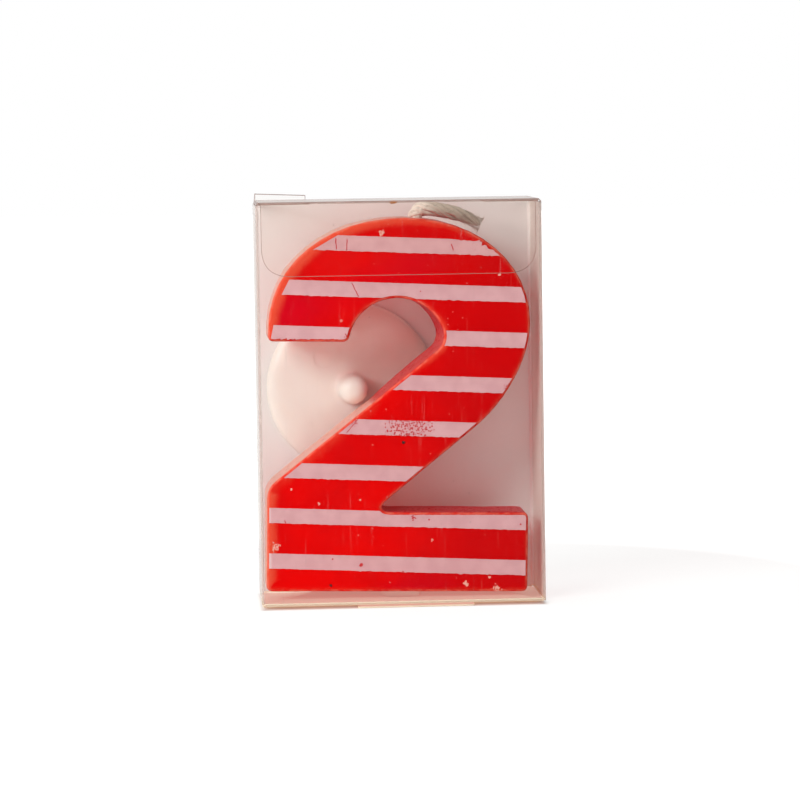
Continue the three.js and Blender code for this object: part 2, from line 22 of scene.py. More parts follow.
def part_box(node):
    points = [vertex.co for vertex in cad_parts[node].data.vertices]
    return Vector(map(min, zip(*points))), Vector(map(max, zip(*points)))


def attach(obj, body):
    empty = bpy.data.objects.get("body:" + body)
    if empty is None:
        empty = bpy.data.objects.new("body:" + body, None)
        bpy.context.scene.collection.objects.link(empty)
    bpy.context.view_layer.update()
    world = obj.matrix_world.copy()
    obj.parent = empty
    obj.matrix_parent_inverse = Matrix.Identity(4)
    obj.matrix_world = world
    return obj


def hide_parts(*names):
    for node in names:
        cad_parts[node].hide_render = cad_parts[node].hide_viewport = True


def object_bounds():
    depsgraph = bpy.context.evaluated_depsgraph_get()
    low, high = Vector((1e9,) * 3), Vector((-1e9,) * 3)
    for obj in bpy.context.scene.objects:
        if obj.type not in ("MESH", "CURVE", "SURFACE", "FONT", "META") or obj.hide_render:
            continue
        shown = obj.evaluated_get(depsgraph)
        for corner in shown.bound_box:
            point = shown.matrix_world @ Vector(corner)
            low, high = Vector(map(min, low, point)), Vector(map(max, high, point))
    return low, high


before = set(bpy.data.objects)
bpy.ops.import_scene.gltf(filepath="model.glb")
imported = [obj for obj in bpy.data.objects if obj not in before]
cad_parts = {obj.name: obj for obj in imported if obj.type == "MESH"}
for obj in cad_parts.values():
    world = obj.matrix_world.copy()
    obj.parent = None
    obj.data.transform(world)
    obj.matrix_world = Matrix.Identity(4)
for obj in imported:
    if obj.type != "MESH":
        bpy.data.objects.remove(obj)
cad_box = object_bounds()

LOG = logging.getLogger("number_candle")
MM = 0.001
FACE_Y = -8.6 * MM
UPWARD = 0.3
# Point attribute of painted glow: orange light painted on the wax near the edges that face the key lamp.
PAINTED_GLOW_ATTRIBUTE = "glow"
# Point attribute of how much the nearest wall faces the lamp, less where it is hidden; it sets painted light
# and shade.
LIT_ATTRIBUTE = "lit"

Colour = tuple[float, float, float, float]
Piece = bpy.types.Object
Socket = bpy.types.NodeSocket


class Body(str, Enum):
    """The bodies of the model that pieces ride on."""

    CARTON = "carton"
    LID = "lid"
    TUCK = "tuck"
    LEFT_DUST = "left_dust"
    RIGHT_DUST = "right_dust"
    BOTTOM_FRONT = "bottom_front"
    BOTTOM_LEFT = "bottom_left"
    BOTTOM_RIGHT = "bottom_right"
    BOTTOM_REAR = "bottom_rear"
    CANDLE = "candle"
    HOLDER = "holder"


class Slot(str, Enum):
    """The material slots of the record."""

    SHEET = "clear_sheet"
    WAX = "red_wax"
    PRINT = "stripe_print"
    WICK = "wick_cotton"
    HOLDER = "holder_plastic"


def clamp(value: float) -> float:
    """Keeps a value between 0 and 1."""
    return min(max(value, 0.0), 1.0)


def linear(value: int) -> float:
    """Turns one channel of a screen colour, 0 to 255, into light."""
    share = value / 255
    return share / 12.92 if share <= 0.04045 else ((share + 0.055) / 1.055) ** 2.4


def tone(red: int, green: int, blue: int) -> Colour:
    """Turns a screen colour into light, opaque."""
    return linear(red), linear(green), linear(blue), 1.0


@dataclass(frozen=True)
class Spot:
    """A spot on the digit's face, in mm: rubbed print, a pale chip or a dark speck.

    The share says how much of the spot shows, and the tear how deep a stripe's edge is torn there.
    """

    x: float
    z: float
    radius: float
    share: float = 0.75
    tear: float = 0.0

    @property
    def centre(self) -> tuple[float, float, float]:
        """Gives its place in metres."""
        return self.x * MM, FACE_Y, self.z * MM


@dataclass(frozen=True)
class Nick(Spot):
    """A thin cut through the print, with its length as the radius."""

    lean: float = 0.0


WORN_SPOTS = (
    Spot(-8.5, 8.35, 0.55, 0.9),
    Spot(16.4, 75.4, 5.4, 0.2, tear=1.0),
    Spot(-24.4, 54.9, 0.8, 0.4),
    Spot(-23.1, 54.8, 0.9, 0.45),
    Spot(-21.7, 54.7, 0.8, 0.4),
    Spot(-10.9, 55.6, 0.8, 0.45),
    Spot(-9.8, 37.6, 1.2, 0.36),
    Spot(22.2, 44.3, 1.3, 0.4),
    Spot(2.3, 17.8, 0.7, 0.5),
)
DOTTED = Spot(1.7, 36.6, 5.6, 0.95)
NICKS = (
    Nick(-12.7, 74.5, 2.4, lean=0.05),
    Nick(-10.5, 74.2, 2.6, lean=-0.08),
    Nick(11.1, 73.4, 1.4, lean=0.35),
    Nick(-8.9, 65.0, 3.0, lean=0.5),
    Nick(-23.9, 17.4, 1.2, lean=0.3),
    Nick(-9.9, 37.1, 3.0, lean=-0.85),
)
NICK_WIDTH = 0.14 * MM
CHIPS = (
    Spot(13.0, 3.9, 0.75, 0.62),
    Spot(19.4, 2.4, 1.5, 0.48),
    Spot(18.0, 5.25, 0.45),
    Spot(-22.7, 24.2, 0.36),
    Spot(-17.2, 21.2, 0.5, 0.55),
    Spot(-26.0, 12.4, 1.3, 0.46),
    Spot(-10.9, 9.4, 0.4, 0.5),
    Spot(6.1, 13.2, 0.5, 0.5),
    Spot(-8.5, 65.0, 0.5, 0.6),
    Spot(20.8, 67.5, 0.45, 0.55),
    Spot(-8.6, 21.8, 0.32, 0.5),
    Spot(-3.3, 76.6, 0.9, 0.5),
)
DARK_SPECKS = (Spot(0.6, 33.4, 0.4), Spot(-14.9, 4.2, 0.4))


class Graph:
    """Places shader nodes in one tree and joins them."""

    def __init__(self, tree: bpy.types.NodeTree) -> None:
        """Keeps the tree that nodes are placed in."""
        self.tree = tree

    def add(self, kind: str, inputs: dict[Any, Any] | None = None, **settings: Any) -> bpy.types.Node:
        """Places one node.

        Args:
            kind: The node's type, without its ShaderNode prefix.
            inputs: Each input's value, or the output that feeds it.
            **settings: The node's own settings.

        Returns:
            The node.
        """
        node = self.tree.nodes.new("ShaderNode" + kind)
        for name, value in settings.items():
            setattr(node, name, value)
        for name, value in (inputs or {}).items():
            if isinstance(value, Socket):
                self.tree.links.new(value, node.inputs[name])
            else:
                node.inputs[name].default_value = value
        return node

    def effect(self, group: bpy.types.NodeTree, **inputs: Any) -> Socket:
        """Places a shared effect with its own values."""
        return self.add("Group", inputs, node_tree=group).outputs[0]

    def number(self, operation: str, *values: Any, capped: bool = False) -> Socket:
        """Works out one number from up to three others."""
        return self.add("Math", dict(enumerate(values)), operation=operation, use_clamp=capped).outputs[0]

    def most(self, masks: Iterable[Socket]) -> Socket:
        """Gives the largest of several masks."""
        return reduce(lambda first, second: self.number("MAXIMUM", first, second), masks)

    def ramp(self, value: Any, low: float, high: float, to_low: float = 0.0, to_high: float = 1.0) -> Socket:
        """Maps a range onto another with a soft start and end."""
        inputs = {0: value, 1: low, 2: high, 3: to_low, 4: to_high}
        return self.add("MapRange", inputs, interpolation_type="SMOOTHSTEP").outputs[0]

    def blend(self, share: Any, first: Any, second: Any) -> Socket:
        """Mixes two colours."""
        return self.add("Mix", {0: share, 6: first, 7: second}, data_type="RGBA").outputs[2]

    def scaled(self, vector: Any, scale: Sequence[float], turn: Sequence[float] = (0, 0, 0)) -> Socket:
        """Stretches and turns the coordinates of a pattern."""
        return self.add("Mapping", {0: vector, 2: turn, 3: scale}).outputs[0]

    def between(self, first: Any, second: Any, operation: str) -> Any:
        """Works out a vector or a length from two vectors."""
        return self.add("VectorMath", {0: first, 1: second}, operation=operation).outputs

    def parts(self, vector: Any) -> Any:
        """Takes a vector apart."""
        return self.add("SeparateXYZ", {0: vector}).outputs

    def noise(self, vector: Any, scale: Any, detail: float = 3.0, rough: float = 0.55) -> Socket:
        """Gives cloudy noise from 0 to 1."""
        inputs = {"Vector": vector, "Scale": scale, "Detail": detail, "Roughness": rough}
        return self.add("TexNoise", inputs).outputs["Fac"]

    def coordinates(self, name: str) -> Socket:
        """Gives coordinates: the piece's own, as Object, or its Normal, or the world's, as Generated."""
        return self.add("TexCoord").outputs[name]

    def bump(self, height: Any, strength: float, depth: float) -> Socket:
        """Gives the normal that a height map makes, its depth in metres."""
        return self.add("Bump", {"Strength": strength, "Distance": depth, "Height": height}).outputs[0]

    def mixed(self, share: Any, first: Socket, second: Socket) -> Socket:
        """Mixes two shaders."""
        return self.add("MixShader", {0: share, 1: first, 2: second}).outputs[0]


class Effect(Graph):
    """The graph of a node group."""

    def __init__(self, name: str, **inputs: str) -> None:
        """Starts the group.

        Args:
            name: The group's name.
            **inputs: The type of each input, such as Float or Vector.
        """
        super().__init__(bpy.data.node_groups.new(name, "ShaderNodeTree"))
        for label, kind in inputs.items():
            self.tree.interface.new_socket(name=label, in_out="INPUT", socket_type="NodeSocket" + kind)
        self.given = self.tree.nodes.new("NodeGroupInput").outputs

    def give(self, label: str, kind: str, value: Socket) -> bpy.types.NodeTree:
        """Ends the group.

        Args:
            label: The name of what it puts out.
            kind: Its type.
            value: What it is.

        Returns:
            The group.
        """
        self.tree.interface.new_socket(name=label, in_out="OUTPUT", socket_type="NodeSocket" + kind)
        self.tree.links.new(value, self.tree.nodes.new("NodeGroupOutput").inputs[0])
        return self.tree


class Effects:
    """The surface effects that several finishes share, each a node group that is built once."""

    def __init__(self) -> None:
        """Builds every group."""
        self.mottle = self._mottle()
        self.specks = self._specks()
        self.scratches = self._scratches()
        self.rounded_edge = self._rounded_edge()
        self.worn_spot = self._worn_spot()
        self.nick = self._nick()

    @staticmethod
    def _mottle() -> bpy.types.NodeTree:
        """Cloudy variation between two colours.

        Returns:
            The group.
        """
        graph = Effect("mottle", vector="Vector", scale="Float", first="Color", second="Color")
        cloud = graph.noise(graph.given["vector"], graph.given["scale"], 5.0)
        share = graph.ramp(cloud, 0.32, 0.68)
        return graph.give("colour", "Color", graph.blend(share, graph.given["first"], graph.given["second"]))

    @staticmethod
    def _specks() -> bpy.types.NodeTree:
        """Scattered small specks, of which a share of the cells show one.

        Returns:
            The group.
        """
        graph = Effect("specks", vector="Vector", scale="Float", size="Float", share="Float")
        inputs = {"Vector": graph.given["vector"], "Scale": graph.given["scale"]}
        cells = graph.add("TexVoronoi", inputs).outputs
        chance = graph.add("SeparateColor", {0: cells["Color"]}).outputs[0]
        shown = graph.number("LESS_THAN", chance, graph.given["share"])
        edge = graph.number("DIVIDE", cells["Distance"], graph.given["size"])
        near = graph.ramp(edge, 0.6, 1.0, 1.0, 0.0)
        return graph.give("mask", "Float", graph.number("MULTIPLY", near, shown))

    @staticmethod
    def _scratches() -> bpy.types.NodeTree:
        """Fine rubbed lines in two directions.

        Returns:
            The group.
        """
        graph = Effect("scratches", vector="Vector", scale="Float", amount="Float")
        place = graph.given["vector"]
        lines = [
            graph.noise(graph.scaled(place, (1, stretch, stretch), (0, turn, 0)), graph.given["scale"], 2.0)
            for turn, stretch in ((0.35, 0.03), (-1.15, 0.05))
        ]
        total = graph.most(graph.ramp(line, 0.66, 0.72) for line in lines)
        patches = graph.ramp(graph.noise(place, 160.0), 0.45, 0.62)
        amount = graph.number("MULTIPLY", graph.number("MULTIPLY", total, patches), graph.given["amount"])
        return graph.give("mask", "Float", amount)

    @staticmethod
    def _rounded_edge() -> bpy.types.NodeTree:
        """Marks the rounded edge of a slab that faces along Y.

        Returns:
            The group.
        """
        graph = Effect("rounded edge", normal="Vector")
        facing = graph.parts(graph.given["normal"])["Y"]
        square = graph.number("MULTIPLY", facing, facing)
        product = graph.number("MULTIPLY", square, graph.number("SUBTRACT", 1.0, square))
        return graph.give("mask", "Float", graph.ramp(product, 0.03, 0.2))

    @staticmethod
    def _worn_spot() -> bpy.types.NodeTree:
        """A spot where the layer under the print shows, a share of it through.

        Returns:
            The group.
        """
        graph = Effect("worn spot", vector="Vector", centre="Vector", radius="Float", share="Float")
        place = graph.given["vector"]
        away = graph.between(place, graph.given["centre"], "DISTANCE")["Value"]
        near = graph.number("DIVIDE", away, graph.given["radius"])
        wander = graph.noise(place, 1500.0, 2.0)
        near = graph.number("ADD", near, graph.number("MULTIPLY_ADD", wander, 2.2, -1.1))
        hold = graph.ramp(near, 0.35, 1.0, 1.0, 0.0)
        grain = graph.noise(place, 4200.0, 1.0)
        level = graph.number("ADD", grain, graph.number("MULTIPLY", hold, graph.given["share"]))
        return graph.give("mask", "Float", graph.ramp(level, 0.86, 0.92))

    @staticmethod
    def _nick() -> bpy.types.NodeTree:
        """A thin upright cut through the print.

        Returns:
            The group.
        """
        graph = Effect("nick", vector="Vector", centre="Vector", length="Float", width="Float", lean="Float")
        place = graph.given["vector"]
        parts = graph.parts(graph.between(place, graph.given["centre"], "SUBTRACT")[0])
        wander = graph.number("MULTIPLY_ADD", graph.noise(place, 900.0), 0.0005, -0.00025)
        across = graph.number("MULTIPLY_ADD", parts["Z"], graph.given["lean"], parts["X"])
        across = graph.number("ABSOLUTE", graph.number("ADD", across, wander))
        side = graph.ramp(graph.number("DIVIDE", across, graph.given["width"]), 0.5, 1.0, 1.0, 0.0)
        end = graph.number("DIVIDE", graph.number("ABSOLUTE", parts["Z"]), graph.given["length"])
        end = graph.ramp(end, 0.4, 0.55, 1.0, 0.0)
        return graph.give("mask", "Float", graph.number("MULTIPLY", side, end))

    def spot(self, graph: Graph, place: Socket, spot: Spot) -> Socket:
        """Gives the mask of one spot."""
        radius = spot.radius * MM
        return graph.effect(self.worn_spot, vector=place, centre=spot.centre, radius=radius, share=spot.share)

    def cut(self, graph: Graph, place: Socket, nick: Nick) -> Socket:
        """Gives the mask of one nick."""
        sizes = {"length": nick.radius * MM, "width": NICK_WIDTH, "lean": nick.lean}
        return graph.effect(self.nick, vector=place, centre=nick.centre, **sizes)


class Paint(Graph):
    """The graph of one material."""

    def __init__(self, name: str) -> None:
        """Starts an empty material.

        Args:
            name: The material's name.
        """
        self.material = bpy.data.materials.new(name)
        self.material.use_nodes = True
        super().__init__(self.material.node_tree)
        self.tree.nodes.clear()
        self.place = self.coordinates("Object")

    def finish(self, shader: Socket) -> bpy.types.Material:
        """Puts the shader out and gives the material."""
        self.add("OutputMaterial", {0: shader})
        return self.material


@dataclass(frozen=True)
class WaxFinish:
    """Cast red wax, saturated, with pale specks and chips; its orange glow near lit edges, edge highlights,
    lit and shaded side walls and darker right side are painted light.
    """

    red: Colour = tone(246, 0, 0)
    deep: Colour = tone(226, 0, 4)
    crimson: Colour = tone(212, 0, 44)
    # Painted shade: a darker red towards the right, away from the key lamp.
    painted_shade_red: Colour = tone(208, 0, 6)
    # Painted glow: this orange, laid on the wax near its lit edges, stands in for light shining through them.
    glow: Colour = tone(240, 84, 60)
    # Painted highlight: this paler orange, laid on the rounded edges, stands in for their sheen.
    edge: Colour = tone(244, 128, 106)
    # Painted light and shade on the side walls: pale where a wall faces the lamp, crimson where it is turned
    # away or hidden.
    wall_lit: Colour = tone(240, 184, 170)
    wall_dark: Colour = tone(210, 42, 56)
    fleck: Colour = tone(250, 190, 176)
    soot: Colour = tone(70, 45, 45)
    through: Colour = tone(250, 60, 46)
    shine: float = 0.6

    def _body(self, paint: Paint, effects: Effects) -> Socket:
        """Paints the wax without its marks: deeper patches, painted shade towards the right, the painted
        glow, painted light and shade on the side walls and painted highlights on the rounded edges.

        Args:
            paint: The material's graph.
            effects: The shared effects.

        Returns:
            The colour.
        """
        place = paint.place
        colour = paint.effect(effects.mottle, vector=place, scale=60.0, first=self.red, second=self.deep)
        patch = paint.ramp(paint.noise(paint.scaled(place, (0.7, 1.0, 1.0)), 34.0, 1.0), 0.56, 0.68, 0.0, 0.5)
        colour = paint.blend(patch, colour, self.crimson)
        # Painted shade, darker towards the right, away from the key lamp.
        painted_shade_share = paint.ramp(paint.parts(place)["X"], -12 * MM, 22 * MM, 0.0, 0.75)
        colour = paint.blend(painted_shade_share, colour, self.painted_shade_red)
        # Painted glow, broken up by streaks, where the edges face the lamp.
        glow = paint.add("Attribute", attribute_name=PAINTED_GLOW_ATTRIBUTE).outputs["Fac"]
        painted_glow_streaks = paint.noise(paint.scaled(place, (1.0, 1.0, 0.4)), 460.0, 5.0, 0.7)
        level = paint.number("ADD", glow, paint.number("MULTIPLY_ADD", painted_glow_streaks, 0.6, -0.32))
        colour = paint.blend(paint.ramp(level, 0.05, 0.95), colour, self.glow)
        normal = paint.coordinates("Normal")
        facing = paint.number("ABSOLUTE", paint.parts(normal)["Y"])
        # Painted light and shade on the side walls, picked by how much each faces the lamp.
        lit = paint.add("Attribute", attribute_name=LIT_ATTRIBUTE).outputs["Fac"]
        side = paint.blend(paint.ramp(lit, 0.15, 0.75), self.wall_dark, self.wall_lit)
        colour = paint.blend(paint.ramp(facing, 0.3, 0.75, 0.92, 0.0), colour, side)
        # Painted highlight on the rounded edges, broken up by noise.
        rim = paint.effect(effects.rounded_edge, normal=normal)
        patchy_highlight = paint.ramp(paint.noise(place, 500.0), 0.35, 0.6, 0.1, 0.7)
        return paint.blend(paint.number("MULTIPLY", rim, patchy_highlight), colour, self.edge)

    def _marks(self, paint: Paint, effects: Effects) -> Socket:
        """Strews pale specks, rubbed lines and chips.

        Args:
            paint: The material's graph.
            effects: The shared effects.

        Returns:
            Their mask.
        """
        place = paint.place
        small = paint.effect(effects.specks, vector=place, scale=1000.0, size=0.2, share=0.045)
        large = paint.effect(effects.specks, vector=place, scale=330.0, size=0.15, share=0.09)
        rubbed = paint.effect(effects.scratches, vector=place, scale=1500.0, amount=0.1)
        faint = paint.most([paint.number("MULTIPLY", small, 0.45), large, rubbed])
        faint = paint.number("MULTIPLY", faint, 0.5)
        return paint.most([faint, paint.most(effects.spot(paint, place, chip) for chip in CHIPS)])

    def material(self, effects: Effects) -> bpy.types.Material:
        """Builds the material; light passes through the wax and comes out red.

        Args:
            effects: The shared effects.

        Returns:
            The material.
        """
        paint = Paint("red wax")
        place = paint.place
        marks = self._marks(paint, effects)
        soot = paint.most(effects.spot(paint, place, speck) for speck in DARK_SPECKS)
        colour = paint.blend(marks, self._body(paint, effects), self.fleck)
        grain = paint.number("ADD", paint.noise(place, 420.0, 4.0), paint.number("MULTIPLY", marks, 0.6))
        surface = paint.add("BsdfPrincipled", {
            "Base Color": paint.blend(soot, colour, self.soot),
            "Roughness": paint.ramp(paint.noise(place, 900.0), 0.3, 0.7, 0.26, 0.4),
            "IOR": 1.12,
            "Subsurface Weight": 0.16,
            "Subsurface Radius": (1.0, 0.1, 0.05),
            "Subsurface Scale": 1.6 * MM,
            "Normal": paint.bump(grain, 0.35, 0.2 * MM),
        })
        tinted = paint.add("BsdfTransparent", {"Color": self.through})
        shadow = paint.add("LightPath").outputs["Is Shadow Ray"]
        share = paint.number("MULTIPLY", shadow, self.shine)
        return paint.finish(paint.mixed(share, surface.outputs[0], tinted.outputs[0]))


@dataclass(frozen=True)
class PrintFinish:
    """Pinkish white print on the wax, rubbed through in spots."""

    pale: Colour = tone(232, 184, 190)
    pink: Colour = tone(223, 172, 179)
    # Painted highlight on the stripes' left ends, which face the lamp.
    painted_highlight_pink: Colour = tone(250, 226, 230)
    under: Colour = tone(205, 10, 24)

    def _worn(self, paint: Paint, effects: Effects) -> Socket:
        """Marks where the wax shows through: specks, worn spots, the dotted spot and the nicks.

        Args:
            paint: The material's graph.
            effects: The shared effects.

        Returns:
            The mask.
        """
        place = paint.place
        specks = paint.effect(effects.specks, vector=place, scale=900.0, size=0.22, share=0.02)
        away = paint.between(place, DOTTED.centre, "DISTANCE")["Value"]
        near = paint.ramp(away, 0.45 * DOTTED.radius * MM, DOTTED.radius * MM, DOTTED.share, 0.0)
        dots = paint.effect(effects.specks, vector=place, scale=2500.0, size=0.58, share=near)
        spots = [effects.spot(paint, place, spot) for spot in WORN_SPOTS]
        return paint.most([specks, *spots, dots, *[effects.cut(paint, place, nick) for nick in NICKS]])

    def material(self, effects: Effects) -> bpy.types.Material:
        """Builds the material, with the stripes' left ends brighter: a painted highlight where they face the
        lamp.

        Args:
            effects: The shared effects.

        Returns:
            The material.
        """
        paint = Paint("stripe print")
        place = paint.place
        base = paint.effect(effects.mottle, vector=place, scale=330.0, first=self.pale, second=self.pink)
        worn = self._worn(paint, effects)
        grain = paint.noise(place, 1500.0, 4.0)
        # Painted highlight on the stripes' left ends, which face the lamp.
        end = paint.ramp(paint.parts(place)["X"], -27.3 * MM, -26.7 * MM, 0.7, 0.0)
        colour = paint.blend(end, base, self.painted_highlight_pink)
        surface = paint.add("BsdfPrincipled", {
            "Base Color": paint.blend(paint.number("MULTIPLY", worn, 0.9), colour, self.under),
            "Roughness": paint.ramp(grain, 0.3, 0.7, 0.45, 0.65),
            "Specular IOR Level": 0.3,
            "Normal": paint.bump(paint.number("SUBTRACT", grain, worn), 0.4, 0.06 * MM),
        })
        return paint.finish(surface.outputs[0])


@dataclass(frozen=True)
class SheetFinish:
    """Clear folding sheet: it mirrors a little, and clouds what is behind it by its haze."""

    name: str
    haze: float
    smear: float
    cloud: Colour = tone(238, 228, 222)
    tint: Colour = tone(254, 253, 252)
    rough: float = 0.2
    mirror: float = 1.06
    marks: float = 0.2
    gloss: float = 0.3
    # Emission for a painted backlight: the sheet glows as if lit from beneath.
    painted_backlight: float = 0.0
    lets_light_by: bool = True
    speck: tuple[float, float, float] = (-0.94, -11.9, 83.15)
    speck_radius: float = 0.8
    brown: Colour = tone(176, 104, 34)

    def _haze(self, paint: Paint, effects: Effects) -> Socket:
        """Adds up the haze, smears, rubbed lines, dust and reflection.

        Args:
            paint: The material's graph.
            effects: The shared effects.

        Returns:
            How much of what is behind the sheet is hidden.
        """
        place = paint.place
        rubbed = paint.effect(effects.scratches, vector=place, scale=1400.0, amount=0.3)
        dust = paint.effect(effects.specks, vector=place, scale=300.0, size=0.07, share=0.12)
        smear = paint.noise(paint.scaled(place, (1.0, 1.0, 0.4)), 60.0, 4.0)
        smear = paint.ramp(smear, 0.35, 0.7, 0.0, self.smear)
        marks = paint.most([paint.number("MULTIPLY", rubbed, 0.5), dust])
        marks = paint.number("MULTIPLY", marks, self.marks)
        haze = paint.number("ADD", paint.number("ADD", smear, self.haze), marks)
        return paint.number("ADD", haze, paint.add("Fresnel", {"IOR": self.mirror}).outputs[0], capped=True)

    def material(self, effects: Effects) -> bpy.types.Material:
        """Builds the material; the haze holds light back only where the sheet doesn't let it by.

        Args:
            effects: The shared effects.

        Returns:
            The material.
        """
        paint = Paint(self.name)
        place = paint.place
        share = self._haze(paint, effects)
        if self.lets_light_by:
            held = paint.number("SUBTRACT", 1.0, paint.add("LightPath").outputs["Is Shadow Ray"])
            share = paint.number("MULTIPLY", share, held)
        centre, radius = [value * MM for value in self.speck], self.speck_radius * MM
        stain = paint.effect(effects.worn_spot, vector=place, centre=centre, radius=radius, share=1.0)
        wave = paint.noise(paint.scaled(place, (1.0, 1.0, 0.6)), 55.0, 1.0)
        clear = paint.add("BsdfTransparent", {"Color": self.tint})
        cloudy = paint.add("BsdfPrincipled", {
            "Base Color": paint.blend(stain, self.cloud, self.brown),
            "Roughness": self.rough,
            "Specular IOR Level": self.gloss,
            # Painted backlight: the sheet's cloud colour glows, as if lit from beneath.
            "Emission Color": self.cloud,
            "Emission Strength": self.painted_backlight,
            "Normal": paint.bump(wave, 0.2, 0.6 * MM),
        })
        return paint.finish(paint.mixed(paint.most([share, stain]), clear.outputs[0], cloudy.outputs[0]))


@dataclass(frozen=True)
class HolderFinish:
    """Moulded white plastic, satin, with faint flow marks."""

    white: Colour = tone(248, 243, 236)
    shade: Colour = tone(240, 232, 224)

    def material(self, effects: Effects) -> bpy.types.Material:
        """Builds the material.

        Args:
            effects: The shared effects.

        Returns:
            The material.
        """
        paint = Paint("holder plastic")
        place = paint.place
        rubbed = paint.effect(effects.scratches, vector=place, scale=800.0, amount=0.3)
        grain = paint.number("SUBTRACT", paint.noise(place, 700.0, 3.0), rubbed)
        white = paint.effect(effects.mottle, vector=place, scale=90.0, first=self.white, second=self.shade)
        surface = paint.add("BsdfPrincipled", {
            "Base Color": white,
            "Roughness": paint.ramp(paint.noise(place, 500.0), 0.3, 0.7, 0.32, 0.44),
            "Subsurface Weight": 0.12,
            "Subsurface Radius": (1.0, 0.85, 0.7),
            "Subsurface Scale": 1.0 * MM,
            "Normal": paint.bump(grain, 0.25, 0.05 * MM),
        })
        return paint.finish(surface.outputs[0])


@dataclass(frozen=True)
class CottonFinish:
    """Greyish cotton yarn, its fibres along the strand, reddened where it leaves the wax, with painted red
    bounce light on the parts that face down.
    """

    pale: Colour = tone(243, 235, 224)
    grey: Colour = tone(196, 184, 170)
    dark: Colour = tone(140, 122, 104)
    # Used for wax soaked into the wick and for painted red bounce light on its underside.
    wax: Colour = tone(226, 96, 94)

    def material(self, effects: Effects) -> bpy.types.Material:
        """Builds the material.

        Args:
            effects: The shared effects, of which cotton needs none.

        Returns:
            The material.
        """
        paint = Paint("wick cotton")
        place = paint.place
        fibre = paint.noise(paint.scaled(place, (0.35, 1.0, 1.0)), 2600.0, 3.0)
        parts = paint.parts(place)
        colour = paint.blend(paint.ramp(parts["X"], 5.0 * MM, 9.5 * MM), self.pale, self.grey)
        colour = paint.blend(paint.ramp(fibre, 0.5, 0.72, 0.0, 0.55), colour, self.dark)
        # Painted red bounce light on the faces that look down at the wax, joined with the real wax soak near
        # where the wick leaves the wax.
        under = paint.parts(paint.coordinates("Normal"))["Z"]
        level = paint.number("MULTIPLY_ADD", paint.noise(place, 700.0), 0.9, under)
        low = paint.ramp(parts["Z"], 78.6 * MM, 79.6 * MM, 0.85, 0.0)
        low = paint.number("MULTIPLY", low, paint.ramp(parts["X"], 9.0 * MM, 12.0 * MM, 1.0, 0.0))
        wax_soak_and_red_bounce = paint.most([paint.ramp(level, -0.5, 0.0, 0.6, 0.0), low])
        surface = paint.add("BsdfPrincipled", {
            "Base Color": paint.blend(wax_soak_and_red_bounce, colour, self.wax),
            "Roughness": 0.92,
            "Sheen Weight": 0.25,
            "Normal": paint.bump(fibre, 0.8, 0.12 * MM),
        })
        return paint.finish(surface.outputs[0])


# White for the rear sheet; a pinkish brown that is painted shade and red bounce light for the floor flaps; a
# cream that is a painted highlight for the bottom crease and the floor flaps' edges.
WHITE, PAINTED_PINK_SHADE, PAINTED_CREASE_HIGHLIGHT = tone(244, 242, 241), tone(198, 166, 154), tone(252, 238, 212)
FINISHES = {
    "wax": WaxFinish(),
    "print": PrintFinish(),
    "holder": HolderFinish(),
    "cotton": CottonFinish(),
    "clear": SheetFinish("clear sheet", haze=0.0003, smear=0.0012, marks=0.16),
    "rear": SheetFinish("hazy rear sheet", haze=0.88, smear=0.04, cloud=WHITE),
    # Floor flaps: painted pink shade and bounce light, with a painted backlight.
    "floor": SheetFinish("hazy floor sheet", haze=0.85, smear=0.1, cloud=PAINTED_PINK_SHADE, rough=0.6, gloss=0.05,
                         painted_backlight=0.6, lets_light_by=False),
    "crease": SheetFinish("creased sheet", haze=0.1, smear=0.08, cloud=tone(220, 204, 196)),
    # Cut edges and sleeve ends: their darker pinkish grey is painted shade, which draws thin dark lines along
    # the sheet's edges.
    "cut": SheetFinish("cut edge", haze=0.7, smear=0.1, cloud=tone(176, 148, 140), lets_light_by=False),
    "edge": SheetFinish("sleeve end", haze=0.7, smear=0.1, cloud=tone(170, 146, 140)),
    # Painted highlight: the cream stands in for light caught by the bottom crease and the floor flaps' edges.
    "fold": SheetFinish("folded floor edge", haze=0.85, smear=0.1, cloud=PAINTED_CREASE_HIGHLIGHT, rough=0.5,
                        lets_light_by=False),
}


@dataclass(frozen=True)
class Finishes:
    """Every material, ready to be given to the pieces."""

    wax: bpy.types.Material
    print: bpy.types.Material
    clear: bpy.types.Material
    rear: bpy.types.Material
    floor: bpy.types.Material
    crease: bpy.types.Material
    cut: bpy.types.Material
    fold: bpy.types.Material
    edge: bpy.types.Material
    holder: bpy.types.Material
    cotton: bpy.types.Material

    @classmethod
    def build(cls) -> "Finishes":
        """Builds the shared effects and then each material."""
        effects = Effects()
        return cls(**{name: finish.material(effects) for name, finish in FINISHES.items()})


